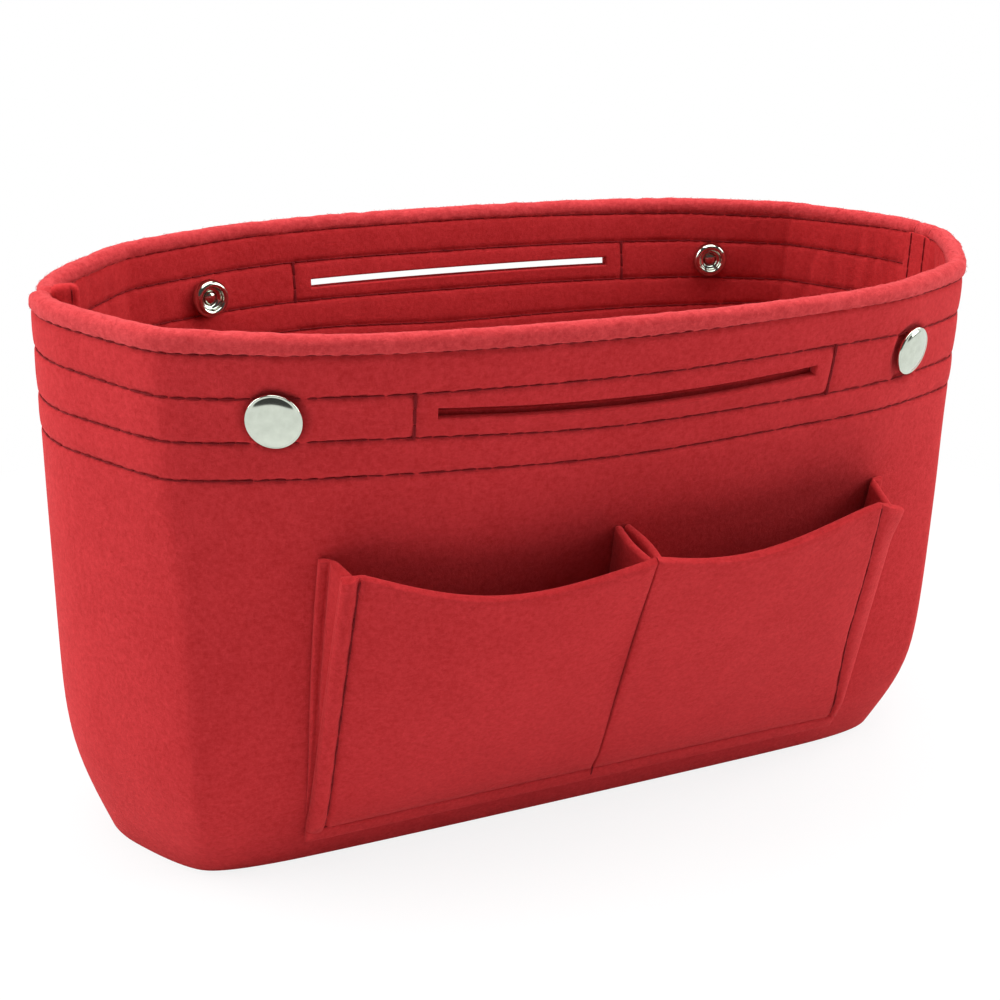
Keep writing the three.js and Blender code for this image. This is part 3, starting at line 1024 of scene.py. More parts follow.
    def wandering(
        self, side: Side, across: Array, z: Array, rows: Sequence[float], ends: tuple[float, float],
    ) -> Array:
        """Heights of a grid whose lines wander with the sewn rows and sag along the front hand slot.

        Args:
            side: Front or back.
            across: Distances along the wall.
            z: Heights of the lines.
            rows: Heights of the sewn rows.
            ends: Ends of the hand slot along the wall.

        Returns:
            Height of each grid point.
        """
        share = across / (across[0] + across[-1])
        moved = [self.form.drift(side, number, share) for number in range(len(rows))]
        level = np.zeros_like(share)
        along_slot = np.clip((across - ends[0]) / (ends[1] - ends[0]), 0.0, 1.0)
        sag = -self.slot_sag * np.sin(math.pi * along_slot) if side is Side.FRONT else level
        lips = self.form.band_centre + np.array([-1.0, 1.0]) * (self.slot_height / 2.0 + 0.6)
        keys = [rows[3] - 8.0, rows[3], rows[2], *lips, rows[1], rows[0], rows[0] + 4.0]
        shifts = np.stack([level, moved[3], moved[2], sag, sag, moved[1], moved[0], moved[0]], 1)
        return z[:, None] + np.stack([np.interp(z, keys, shift) for shift in shifts], 1)

    def slot_lips(self, across: Array, z: Array, ends: tuple[float, float]) -> Array:
        """How far the lower lip of the hand slot is pulled out of the wall, most right of its middle."""
        a, b = np.meshgrid(across, z)
        along = np.clip((a - ends[0]) / (ends[1] - ends[0]), 0.0, 1.0)
        pulled = np.sin(math.pi * along) ** 0.7 * (0.5 + 0.5 * along)
        lip = self.form.band_centre - self.slot_height / 2.0
        foot = self.form.rows[2] + 0.6
        lower = np.clip((b - foot) / (lip - foot), 0.0, 1.0) ** 1.4
        return self.lip_pull * pulled * lower * (b < self.form.band_centre)

    def stud_dimples(self, side: Side, across: Array, z: Array) -> Array:
        """Felt pressed down under the press studs."""
        a, b = np.meshgrid(across, z)
        relief = np.zeros_like(a)
        for stud in self.studs(side):
            reach = np.hypot(a - stud, b - self.form.band_centre)
            relief -= self.dimple_depth * (1.0 - smooth_step(reach, 6.9, 8.5))
            relief += self.dimple_rim * ridge(reach, 9.3, 1.2)
        return relief

    def panel(self, side: Side) -> FeltSheet:
        """Outer half of the tub wall.

        Args:
            side: Front or back.

        Returns:
            Its sheet.
        """
        form = self.form
        across, u, ends = self.columns(side)
        band = self.slot_edges(0.0)
        z = self.heights(0.25, form.panel_top + 1.2, form.rows, band)
        middle = form.wall(u[None, :], self.wandering(side, across, z, form.rows, ends), form.felt / 2.0)
        lift = self.sewn_relief(side, across, z, form.rows) + self.stud_dimples(side, across, z)
        lips = self.slot_lips(across, z, ends)
        return FeltSheet(
            middle, across, z, form.felt, cut=(*ends, *band), cut_radius=0.4, face_lift=lift + lips,
            back_lift=-lips,
        )

    def wrinkles(self, across: Array, z: Array, seed: int) -> Array:
        """Upright wrinkles of the facing, deeper towards the tight ends of the tub."""
        a, b = np.meshgrid(across, z)
        rng = np.random.default_rng(seed)
        relief = np.zeros_like(a)
        for end in (0.0, across[-1]):
            for depth in self.wrinkle_places:
                centre = abs(end - depth) + rng.normal(0.0, 1.0)
                lean = rng.normal(0.0, 0.09)
                size = self.wrinkle_depth * math.exp(-depth / self.wrinkle_fade) * rng.uniform(0.5, 1.2)
                upper = rng.uniform(150.0, 163.0)
                fade = 1.0 - smooth_step(b, upper, upper + 6.0)
                line = centre + lean * (b - self.form.band_centre)
                relief -= size * ridge(a, line, rng.uniform(0.9, 1.6)) * fade
        return relief

    def facing(self, side: Side) -> FeltSheet:
        """Facing turned down inside one half of the tub.

        Args:
            side: Front or back.

        Returns:
            Its sheet.
        """
        form = self.form
        across, u, ends = self.columns(side)
        band = self.slot_edges(self.front_overlap if side is Side.FRONT else 0.0)
        z = self.heights(form.band_foot, form.inner_rows[0] + 0.9, form.inner_rows, band)
        heights = self.wandering(side, across, z, form.inner_rows, ends)
        middle = form.wall(u[None, :], heights, form.felt + form.layer_gap + form.facing / 2.0)
        lift = self.inner_relief * self.sewn_relief(side, across, z, form.inner_rows)
        lift = lift + self.wrinkles(across, z, 5 + side.value)
        return FeltSheet(
            middle, across, z, form.facing, edge_radius=0.9, cut=(*ends, *band), cut_radius=0.35,
            back_lift=lift,
        )

    def row_thread(self, side: Side, inside: bool) -> list[Shell]:
        """Thread of the sewn rows and bars of one half.

        Args:
            side: Front or back.
            inside: Whether it is the side of the thread in the tub.

        Returns:
            Shells of the lines.
        """
        form = self.form
        stitching = Stitching()
        turn = -1.0 if inside else 1.0
        rows = form.inner_rows if inside else form.rows
        first, last = form.span(side)
        places, walked = form.arc(first, last, form.band_centre)

        def inset(sunk: float) -> float:
            """Distance of the thread from the outer face of the wall."""
            return form.felt + form.layer_gap + form.facing - sunk if inside else sunk

        depth = inset(self.groove_depth * (self.inner_relief if inside else 1.0) - 0.22)
        u = np.linspace(first + 0.02, last - 0.02, 420)
        share = np.interp(u, places, walked) / walked[-1]
        lines = []
        for number, row in enumerate(rows):
            z = row + form.drift(side, number, share)
            lines.append(stitching.run(form.wall(u, z, depth), turn * form.outward(u, z), 20 + number))
        depth = inset(0.12)
        for number, bar in enumerate(self.bars(side)):
            low, high = (rows[row] + form.drift(side, row, np.array(bar / walked[-1])) for row in (2, 1))
            z = np.linspace(low - 0.3, high + 0.3, 12)
            for beside in (-self.bar_half_width, self.bar_half_width):
                at = np.interp(bar + beside, walked, places)
                lines.append(stitching.run(form.wall(at, z, depth), turn * form.outward(at, z), 40 + number))
        return lines

    def build(self, wardrobe: Wardrobe) -> None:
        """Makes both panels, both facings and their thread."""
        for side in Side:
            name = side.name.lower()
            panel = self.panel(side)
            wall = panel.shell().to_object(f"{name}_wall")
            piece = dress(wall, wardrobe.outer, [f"{name}_panel"])
            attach(piece, TUB)
            facing = self.facing(side)
            lining = facing.shell().to_object(f"{name}_band_facing")
            piece = dress(lining, wardrobe.inner, [f"{name}_facing"])
            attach(piece, TUB)
            for inside, place in ((False, "outer"), (True, "inner")):
                thread = Shell.joined(self.row_thread(side, inside)).to_object(f"{name}_{place}_thread")
                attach(dress(thread, wardrobe.thread), TUB)


@dataclass(frozen=True)
class RimRoll:
    """Felt folded over at the rim into a soft roll, with its joins at the end seams."""

    form: TubForm
    half_width: float = 2.85
    half_height: float = 2.85
    inner_drop: float = 1.6
    centre_inset: float = 2.2
    sides: int = 30
    station_step: float = 0.85
    squareness: float = 0.86
    lump: float = 0.17
    nub: float = 0.05
    join_step: float = 3.0
    join_reach: float = 13.0
    join_notch: float = 1.4
    thread_groove: float = 0.3
    hairs: int = 7000

    def sheet_grid(self) -> tuple[Array, Array, float]:
        """Points of the roll's skin over stations and sides, walked distances and the perimeter."""
        form = self.form
        places, walked = form.arc(form.left_seam, form.left_seam + form.controls, form.height)
        round_trip = float(walked[-1])
        count = round(round_trip / self.station_step)
        arc = np.arange(count) * round_trip / count
        u = np.interp(arc, walked, places)[:, None]
        angle = (2.0 * math.pi * np.arange(self.sides) / self.sides)[None, :]
        wide = signed_power(np.cos(angle), self.squareness)
        tall = signed_power(np.sin(angle), self.squareness)
        arc = arc[:, None]
        swell = 1.0 + self.lump * (
            0.6 * soft_noise(arc, round_trip, 46, 1) * np.cos(angle - 0.4)
            + 0.5 * soft_noise(arc, round_trip, 110, 2) * np.sin(angle + 0.7)
        ) / self.half_height
        swell = swell + self.nub * felt_nubs((count, self.sides), 8) / self.half_height
        foot = np.clip(-tall, 0.0, 1.0) ** 2
        swell = swell - 0.07 * foot * np.cos(2.0 * math.pi * arc / Stitching.pitch)
        right = float(np.interp(form.right_seam, places, walked))
        for offset in (-form.topstitch_offset, form.topstitch_offset):
            swell = swell - self.thread_groove * ridge(arc, right + offset, 0.8)
        share = np.where(arc < right, arc / right, (arc - right) / (round_trip - right))
        drifts = [form.drift(side, 0, share) for side in (Side.FRONT, Side.BACK)]
        sewn = np.where(arc < right, *drifts) * foot
        from_left = np.where(arc > round_trip / 2.0, arc - round_trip, arc)
        step = self.join_step * (1.0 - smooth_step(from_left, -0.4, 1.6))
        step = step * np.exp(-np.abs(from_left) / self.join_reach)
        notch = self.join_notch * ridge(from_left, 0.3, 1.1) * np.clip(tall, 0.0, 1.0)
        inset = self.centre_inset - self.half_width * wide * swell + step
        drop = (self.half_height + self.inner_drop + (self.half_height - self.inner_drop) * wide) / 2.0
        reach = np.where(tall > 0.0, self.half_height, drop)
        z = form.height - self.half_height + reach * tall * swell - notch + sewn
        return form.wall(u, np.minimum(z, form.height + 0.4), inset), arc[:, 0], round_trip

    def over_thread(self, points: Array, arc: Array) -> Shell:
        """Thread that comes up from the right end seam and crosses the roll in its two grooves.

        Args:
            points: Points of the roll over stations and sides.
            arc: Distance walked to each station.

        Returns:
            Shell of the stitches.
        """
        form = self.form
        places, walked = form.arc(form.left_seam, form.left_seam + form.controls, form.height)
        right = float(np.interp(form.right_seam, places, walked))
        order = np.arange(-3, self.sides // 2 + 4)
        lines = []
        for number, offset in enumerate((-form.topstitch_offset, form.topstitch_offset)):
            ring = points[int(np.argmin(np.abs(arc - right - offset)))]
            outward = unit(ring - ring.mean(0))
            lines.append(Stitching(pitch=3.0).run(ring[order], outward[order], 70 + number))
        return Shell.joined(lines)

    def build(self, wardrobe: Wardrobe) -> None:
        points, arc, round_trip = self.sheet_grid()
        stations, sides = points.shape[:2]
        index = np.arange(stations * sides).reshape(stations, sides)
        index = np.concatenate([index, index[:1]], 0)
        index = np.concatenate([index, index[:, :1]], 1)
        shell = Shell(points.reshape(-1, 3), [grid_faces(index)])
        # The roll and its fuzz wear the rim felt, whose lighter colour is painted light from above.
        piece = dress(shell.to_object("rim_roll"), wardrobe.rim_lit_felt, ["rim_fold"])
        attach(piece, TUB)
        outward = unit(points - points.mean(1, keepdims=True))
        roots = np.random.default_rng(9).choice(stations * sides, self.hairs, replace=False)
        fuzz = Fuzz().hairs(points.reshape(-1, 3)[roots], outward.reshape(-1, 3)[roots], 10)
        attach(dress(fuzz.to_object("rim_fuzz"), wardrobe.rim_lit_felt), TUB)
        thread = self.over_thread(points, arc).to_object("rim_thread")
        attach(dress(thread, wardrobe.thread), TUB)


@dataclass(frozen=True)
class BasePanel:
    """Floor of the tub, a felt oval whose edge is sewn into the walls."""

    form: TubForm
    thickness: float = 3.0
    tuck: float = 0.2
    lift: float = 0.2
    half_width: float = 38.0
    edge_radius: float = 1.2
    spine_share: float = 0.72
    swell: float = 0.15

    def build(self, wardrobe: Wardrobe) -> None:
        """Makes the floor as rings of points that close in on its middle line."""
        form = self.form
        u = np.linspace(0.0, form.controls, 241)[:-1]
        half_thick = self.thickness / 2.0
        outline = form.wall(u, half_thick + self.lift, form.felt - self.tuck)[:, :2]
        reach = self.spine_share * np.abs(outline[:, :1]).max()
        spine = np.clip(outline[:, :1], -reach, reach) * (1.0, 0.0)
        depth = ruled_lines(0.0, 1.0, 0.09, [0.01, 0.03, 0.06])
        edge = rounding(depth * self.half_width, self.edge_radius)
        rings = []
        for layer in (1.0, -1.0):
            for share, height in zip(depth, edge):
                flat = outline + (spine - outline) * share * 0.995
                wave = self.swell * np.sin(flat[:, 0] / 17.0) * np.sin(flat[:, 1] / 13.0)
                z = half_thick + self.lift + layer * height * half_thick + wave * height * (layer > 0)
                rings.append(np.concatenate([flat, z[:, None]], 1))
        rings = np.array(rings)
        count = len(depth)
        index = np.arange(rings.shape[0] * rings.shape[1]).reshape(rings.shape[:2])
        index[count] = index[0]
        index = np.concatenate([index, index[:, :1]], 1)
        top = grid_faces(index[:count])
        bottom = grid_faces(index[count:])[:, ::-1]
        half = len(u) // 2
        strips = []
        for row, order in ((count - 1, 1), (2 * count - 1, -1)):
            ring = index[row][:-1]
            mates = np.roll(ring[::-1], 1)
            quads = np.stack([ring[:half], ring[1:half + 1], mates[1:half + 1], mates[:half]], -1)
            strips.append(quads[1:-1, ::order])
        shell = Shell(rings.reshape(-1, 3), [top, bottom, *strips])
        piece = dress(shell.to_object("base_felt"), wardrobe.inner, ["base_panel"])
        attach(piece, TUB)


@dataclass(frozen=True)
class EndSeams:
    """Seam allowances inside the two ends: a standing tab on the left, pressed open on the right."""

    form: TubForm
    foot: float = 6.0
    tab_half_width: float = 2.6
    tab_depth: float = 7.4
    tab_seam: float = 0.7
    tab_top: float = 170.6
    tab_strip: float = 13.0
    flap_half_width: float = 6.8
    flap_depth: float = 0.6
    flap_top: float = 166.8
    flap_strip: float = 13.6
    step_height: float = 4.0
    sides: int = 28
    end_radius: float = 1.6
    sway: float = 0.35

    def swept(
        self, seam: float, top: float, section: Callable[[Array], tuple[Array, Array]],
    ) -> tuple[Shell, float]:
        """Strip that climbs one end of the tub on the inside.

        Args:
            seam: Place of the seam round the plan.
            top: Height of its upper end.
            section: Gives the width and depth of the strip's outline at each angle.

        Returns:
            Closed shell and the length of the strip.
        """
        fine = edge_lines(self.foot, top, self.end_radius)
        z = ruled_lines(self.foot, top, 5.0, [*fine, self.form.band_foot - self.step_height])
        centre, inward, beside = self.climb(seam, z)
        angle = 2.0 * math.pi * np.arange(self.sides) / self.sides
        wide, deep = section(angle)
        distance = np.minimum(z - self.foot, top - z)
        size = rounding(distance, self.end_radius) * 0.75 + 0.25
        middle = deep.mean()
        sway = self.sway * soft_noise(z, 200.0, 9, 4)
        across = wide[None, :] * size[:, None] + sway[:, None]
        reach = middle + (deep - middle)[None, :] * size[:, None]
        points = centre[:, None] + beside[:, None] * across[..., None] + inward[:, None] * reach[..., None]
        index = np.arange(points.shape[0] * points.shape[1]).reshape(points.shape[:2])
        wrapped = np.concatenate([index, index[:, :1]], 1)
        ends = np.stack([index[0, ::-1], index[-1]])
        length = float(np.linalg.norm(np.diff(centre, axis=0), axis=-1).sum())
        return Shell(points.reshape(-1, 3), [grid_faces(wrapped), ends]), length

    def climb(self, seam: float, z: Array) -> tuple[Array, Array, Array]:
        """Line up the inside of an end seam, over the facing where there is one.

        Args:
            seam: Place of the seam round the plan.
            z: Heights.

        Returns:
            Points on the felt, and unit directions into the tub and along the wall.
        """
        form = self.form
        over = smooth_step(z, form.band_foot - self.step_height, form.band_foot)
        centre = form.wall(seam, z, form.felt + form.layer_gap + (form.facing + form.layer_gap) * over)
        inward = -form.outward(seam, z)
        inward[:, 2] = 0.0
        inward = unit(inward)
        return centre, inward, np.cross(inward, (0.0, 0.0, 1.0))

    def tab_outline(self, angle: Array) -> tuple[Array, Array]:
        """Two felt layers standing side by side, with the joint between them."""
        wide = signed_power(np.cos(angle), 0.6) * self.tab_half_width
        tall = signed_power(np.sin(angle), 0.6)
        joint = 1.0 - 0.28 * ridge(wide, 0.0, 0.8) * (tall > 0)
        deep = (tall * joint + 1.0) * self.tab_depth / 2.0
        return wide * (1.0 - 0.3 * ridge(deep, self.tab_seam * self.tab_depth, 0.6)), deep

    def flap_outline(self, angle: Array) -> tuple[Array, Array]:
        """Allowance pressed open to both sides of the seam."""
        wide = signed_power(np.cos(angle), 0.5) * self.flap_half_width
        tall = signed_power(np.sin(angle), 0.7)
        joint = 1.0 - 0.6 * ridge(wide, 0.0, 0.9) * (tall > 0)
        return wide, (tall * joint + 1.0) * self.flap_depth / 2.0

    def tab_thread(self) -> Shell:
        """Thread that closes the seam, seen on both sides of the standing tab."""
        z = np.linspace(self.foot + 4.0, self.tab_top - 1.2, 90)
        centre, inward, beside = self.climb(self.form.left_seam, z)
        lines = []
        for number, way in enumerate((-1.0, 1.0)):
            path = centre + inward * self.tab_seam * self.tab_depth
            path = path + beside * way * 0.72 * self.tab_half_width
            lines.append(Stitching().run(path, beside * way, 50 + number))
        return Shell.joined(lines)

    def topstitch(self) -> Shell:
        """Two rows of thread that hold the pressed allowance down."""
        form = self.form
        z = np.linspace(self.foot + 4.0, self.flap_top - 0.2, 90)
        places, walked = form.arc(form.right_seam - 0.5, form.right_seam + 0.5, form.band_centre)
        middle = np.interp(form.right_seam, places, walked)
        over = smooth_step(z, form.band_foot - self.step_height, form.band_foot)
        inset = form.felt + form.layer_gap + (form.facing + form.layer_gap) * over + self.flap_depth - 0.1
        lines = []
        for number, offset in enumerate((-form.topstitch_offset, form.topstitch_offset)):
            u = float(np.interp(middle + offset, walked, places))
            lines.append(Stitching().run(form.wall(u, z, inset), -form.outward(u, z), 60 + number))
        return Shell.joined(lines)

    def build(self, wardrobe: Wardrobe) -> None:
        """Makes both allowances and their thread."""
        form = self.form
        tab, length = self.swept(form.left_seam, self.tab_top, self.tab_outline)
        piece = tab.to_object("standing_seam")
        dress(piece, wardrobe.inner, ["seam_allowance_left"])
        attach(piece, TUB)
        thread = self.tab_thread().to_object("standing_seam_thread")
        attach(dress(thread, wardrobe.thread), TUB)
        flap, length = self.swept(form.right_seam, self.flap_top, self.flap_outline)
        piece = flap.to_object("pressed_seam")
        dress(piece, wardrobe.inner, ["seam_allowance_right"])
        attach(piece, TUB)
        thread = self.topstitch().to_object("pressed_seam_thread")
        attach(dress(thread, wardrobe.thread), TUB)


@dataclass(frozen=True)
class SlipPockets:
    """Strips inside the walls, sewn into compartments that stand off between their seams."""

    form: TubForm
    foot: float = 34.0
    top: float = 116.0
    standoff: float = 13.0
    wall_gap: float = 0.8
    back_seams: tuple[float, ...] = (-96.0, -58.0, -32.0, -6.0, 44.0, 96.0)
    front_seams: tuple[float, ...] = (-92.0, 0.0, 92.0)

    def seams(self, side: Side) -> tuple[float, ...]:
        """Seams of the strip on one side."""
        return self.front_seams if side is Side.FRONT else self.back_seams

    def strip(self, side: Side) -> FeltSheet:
        """Strip of one side.

        Args:
            side: Front or back.

        Returns:
            Its sheet.
        """
        form = self.form
        seams = np.array(self.seams(side))
        fine = edge_lines(seams[0], seams[-1], 0.9)
        for seam in seams[1:-1]:
            fine += [seam + shift for shift in (-1.2, -0.6, 0.0, 0.6, 1.2)]
        x = ruled_lines(seams[0], seams[-1], 2.0, fine)
        z = ruled_lines(self.foot, self.top, 4.0, edge_lines(self.foot, self.top, 0.9))
        slip = np.clip(np.searchsorted(seams, x, side="right") - 1, 0, len(seams) - 2)
        width = seams[slip + 1] - seams[slip]
        share = (x - seams[slip]) / width
        rise = ((z - self.foot) / (self.top - self.foot))[:, None]
        bow = np.minimum(self.standoff, width / 2.0) * np.sin(math.pi * share)
        off = bow[None, :] * np.sin(math.pi * rise / 2.0)
        middle = form.face(side, x[None, :], z[:, None], form.felt + self.wall_gap + form.facing / 2.0 + off)
        if side is Side.BACK:
            middle = middle[:, ::-1]
            x = -x[::-1]
            seams = -seams[::-1]
        a = np.broadcast_to(x, middle.shape[:2])
        groove = np.zeros(middle.shape[:2])
        for seam in seams:
            groove -= 0.55 * ridge(a, seam, 0.9)
        return FeltSheet(middle, x, z, form.facing, edge_radius=0.9, back_lift=groove)

    def thread(self, side: Side) -> Shell:
        """Thread of the seams between the compartments."""
        form = self.form
        z = np.linspace(self.foot + 1.0, self.top - 0.6, 40)
        lines = []
        for number, seam in enumerate(self.seams(side)):
            inner = seam - 2.2 * np.sign(seam) if abs(seam) > 80.0 else seam
            rise = (z - self.foot) / (self.top - self.foot)
            bow = 0.0 if inner == seam else 0.9 * np.sin(math.pi * rise / 2.0)
            inset = form.felt + self.wall_gap + form.facing + bow - 0.25
            path = form.face(side, np.full_like(z, inner), z, inset)
            u = form.face_u(side, inner, z)
            lines.append(Stitching().run(path, -form.outward(u, z), 80 + number))
        return Shell.joined(lines)

    def build(self, wardrobe: Wardrobe) -> None:
        """Makes the strips on both sides and their thread."""
        for side in Side:
            name = side.name.lower()
            strip = self.strip(side)
            piece = strip.shell().to_object(f"{name}_slip_strip")
            dress(piece, wardrobe.inner, [f"slip_pocket_{name}"])
            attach(piece, TUB)
            thread = self.thread(side).to_object(f"{name}_slip_thread")
            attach(dress(thread, wardrobe.thread), TUB)


@dataclass(frozen=True)
class SewnLine:
    """Line along which the pocket strip stands off the wall.

    It holds the line's X at foot and top, its stand-off at the top, and the heights there of the
    pocket front and of the bellows at the wall. The free edge of the front bends back, swells into a
    bead, and flares out and sinks at its top. The bellows lies on the wall with a flange.
    """

    foot: float
    top: float
    opening: float
    height: float
    rear: float
    fold: float = 0.0
    bead: float = 0.0
    flare: float = 0.0
    drop: float = 0.0
    flange: float = 0.0

    def at(self, rise: Array | float) -> Array:
        """X of the line at a share of its height."""
        return self.foot + (self.top - self.foot) * np.asarray(rise, float)

    def spread(self, rise: Array | float) -> Array:
        """How far the line flares out near its top."""
        return self.flare * smooth_step(rise, 0.86, 1.0)


@dataclass(frozen=True)
class FrontPockets:
    """Two bellows pockets from one felt strip, with side gussets, a middle pleat and a hem."""

    form: TubForm
    left: SewnLine = SewnLine(-87.0, -77.8, 10.4, 110.2, 110.4, fold=1.0, bead=1.2, drop=0.9, flange=4.6)
    right: SewnLine = SewnLine(
        93.9, 81.8, 16.5, 111.2, 109.2, fold=2.0, bead=0.6, flare=1.8, drop=5.0, flange=5.4,
    )
    middle: SewnLine = SewnLine(4.0, 1.5, 20.3, 108.2, 108.6)
    width: float = 82.0
    top: float = 110.0
    left_scoop: tuple[float, float] = (8.8, 1.0)
    right_scoop: tuple[float, float] = (5.5, 1.35)
    scoop_start: float = 0.06
    foot: float = 18.0
    clearance: float = 1.6
    bulge: float = 2.0
    pleat_half_gap: float = 0.15
    pleat_bow: float = 0.8
    gusset: float = 2.4
    gusset_share: float = 0.012
    pleat_share: float = 0.985
    bellows_foot: float = 22.0
    hem_low: float = 11.0
    hem_high: float = 16.7
    hem_strip: float = 10.0
    foot_gap: float = 0.25
    tuck_top: float = 27.0
    side_stitch: float = 4.0
    stitch_rises: tuple[float, ...] = (0.0, 0.25, 0.42, 0.75, 1.0)
    left_stitch: tuple[float, ...] = (4.6, 4.4, 4.2, 4.0, 3.9)
    right_stitch: tuple[float, ...] = (1.9, 4.5, 6.2, 7.0, 8.6)
    cut_edge: float = 0.45
    hinge_y: float = -48.2
    hairs: int = 500

    def outer(self, hand: Hand) -> SewnLine:
        """Outer line of one pocket."""
        return self.left if hand is Hand.LEFT else self.right

    def rise(self, z: Array) -> Array:
        """Share of the way from the foot of the pockets to their top."""
        return (z - self.foot) / (self.top - self.foot)

    def stitch(self, hand: Hand, rise: Array) -> Array:
        """Distance of the side stitching from the outer edge of a pocket front."""
        distances = self.left_stitch if hand is Hand.LEFT else self.right_stitch
        return np.interp(rise, self.stitch_rises, distances)

    def dip(self, hand: Hand, share: Array) -> Array:
        """How far the scooped top edge of a pocket front hangs below a straight one."""
        depth, lean = self.left_scoop if hand is Hand.LEFT else self.right_scoop
        along = np.clip((share - self.scoop_start) / (1.0 - self.scoop_start), 0.0, 1.0)
        return depth * np.sin(math.pi * along**lean)

    def front(self, hand: Hand, share: Array | float, rise: Array | float, depth: Array | float) -> Array:
        """Points of a pocket front.

        Args:
            hand: Left or right pocket.
            share: Share of the way from the outer line to the middle one.
            rise: Share of the way from the foot to the top edge.
            depth: Distance out of the inner face.

        Returns:
            Points in millimetres.
        """
        share, rise, depth = np.broadcast_arrays(np.asarray(share, float), rise, depth)
        outer = self.outer(hand)
        gap = hand.value * self.pleat_half_gap
        climbed = np.clip(rise, 0.0, 1.0)
        opening = outer.opening + (self.middle.opening - outer.opening) * share
        foot_x = outer.foot + (self.middle.foot + gap - outer.foot) * share
        top_x = outer.top + (self.middle.top + gap - outer.top) * share
        loose = np.clip(1.0 - share * self.width / self.stitch(hand, 1.0), 0.0, 1.0)
        height = outer.height + (self.middle.height - outer.height) * share
        height = height - self.dip(hand, share) - outer.drop * loose
        foot = self.form.face(Side.FRONT, foot_x, self.foot, -self.clearance)
        head = self.form.face(Side.FRONT, top_x, height, -opening)
        point = foot + (head - foot) * rise[..., None]
        swell = self.bulge * np.sin(math.pi * np.clip(share, 0.0, 1.0)) * np.sin(math.pi * climbed)
        free = np.clip(1.0 - share * self.width / self.stitch(hand, climbed), 0.0, 1.0)
        tuck = 1.0 - smooth_step(self.foot + rise * (self.top - self.foot), self.hem_high, self.tuck_top)
        point[..., 0] += hand.value * outer.spread(rise) * (1.0 - smooth_step(share, 0.0, 0.1))
        point[..., 1] += outer.fold * climbed * free + (self.clearance - self.foot_gap) * tuck
        point[..., 1] -= swell + depth
        return point

    def pocket(self, hand: Hand) -> FeltSheet:
        """Front of one pocket.

        Args:
            hand: Left or right.

        Returns:
            Its sheet, with a round bead outside the stitch line of its outer edge.
        """
        inward = -hand.value
        edges = sorted((-0.4 * inward, self.width * inward))
        seam = self.side_stitch * inward
        fine = edge_lines(edges[0], edges[1], self.cut_edge)
        fine += [seam + shift for shift in (-2.0, -1.2, -0.7, -0.35, -0.1, 0.0, 0.35, 0.7, 1.2, 2.0)]
        fine += [depth * inward for depth in (0.1, 0.4, 0.8, 1.3)]
        across = ruled_lines(edges[0], edges[1], 2.0, fine)
        climb = self.top - self.foot
        low = self.hem_high + 0.05 - self.foot
        along = ruled_lines(low, climb, 3.0, edge_lines(low, climb, self.cut_edge))
        a, b = np.meshgrid(across, along)
        inside = a * inward
        moved = np.interp(inside, [0.0, self.side_stitch, 5.0 * self.side_stitch], [0.0, 1.0, 0.0])
        laid = inside + moved * (self.stitch(hand, b / climb) - self.side_stitch)
        middle = self.front(hand, laid / self.width, b / climb, self.form.felt / 2.0)
        pucker = 1.0 + 0.3 * np.cos(2.0 * math.pi * b / Stitching.pitch)
        groove = -0.8 * pucker * ridge(inside, self.side_stitch, 0.75)
        bead = np.sqrt(np.clip(1.0 - (2.0 * inside / self.side_stitch - 1.0) ** 2, 0.0, 1.0))
        wave = 0.5 * np.sin(a / 21.0 + 0.6) * np.sin(b / 27.0) + 0.3 * np.sin(a / 11.0 + b / 17.0)
        wave = wave * smooth_step(b, 3.0, 30.0) * smooth_step(inside, self.side_stitch, 13.0)
        lift = groove + self.outer(hand).bead * bead + wave
        return FeltSheet(
            middle, across, along, self.form.felt, edge_radius=self.cut_edge, face_lift=lift,
            back_lift=-wave * 0.7,
        )

    def bellows_half(self, z: Array) -> Array:
        """Half thickness of the gussets and the pleat, squeezed thinner towards the hem."""
        return self.gusset * (0.3 + 0.7 * smooth_step(z, self.bellows_foot, 60.0)) / 2.0

    def bellows_sheet(self, corners: Sequence[Array]) -> FeltSheet:
        """Side of a pocket from the lines that its folds climb along.

        Args:
            corners: Points of each line, from foot to top.

        Returns:
            Its sheet, with the folds rounded.
        """
        middle = np.stack(corners, 1)
        for _ in range(3):
            near = 0.75 * middle[:, :-1] + 0.25 * middle[:, 1:]
            far = 0.25 * middle[:, :-1] + 0.75 * middle[:, 1:]
            cut = np.stack([near, far], 2).reshape(len(middle), -1, 3)
            middle = np.concatenate([middle[:, :1], cut, middle[:, -1:]], 1)
        widest = np.linalg.norm(np.diff(middle[-1], axis=0), axis=-1)
        across = np.concatenate([[0.0], np.cumsum(widest)])
        z = middle[:, 0, 2]
        return FeltSheet(middle, across, z, 2.0 * self.bellows_half(z)[:, None], edge_radius=0.8)

    def bellows_lines(self, hand: Hand, share: float, rear: float) -> tuple[Array, Array]:
        """Lines up a bellows side where it leaves the wall and where it meets the pocket front.

        Args:
            hand: Left or right.
            share: Share of the way from the outer line to the middle one.
            rear: Height of the bellows at the wall.

        Returns:
            Heights at the wall, and points on the back of the front.
        """
        foot = self.bellows_foot
        climb = ruled_lines(foot, rear, 4.0, edge_lines(foot, rear, 0.8))
        head = float(self.front(hand, share, 1.0, 0.0)[2])
        reached = foot + (climb - foot) * (head - 0.3 - foot) / (rear - foot)
        return climb, self.front(hand, share, (reached - self.foot) / (head - self.foot), 0.0)

    def gusset_sheet(self, hand: Hand) -> FeltSheet:
        """Outer side of one pocket: a flange sewn flat to the wall and a leg out to the front."""
        line = self.outer(hand)
        z, front = self.bellows_lines(hand, self.gusset_share, line.rear)
        rise = self.rise(z)
        half = self.bellows_half(z)
        edge = line.at(rise) + hand.value * line.spread(rise)

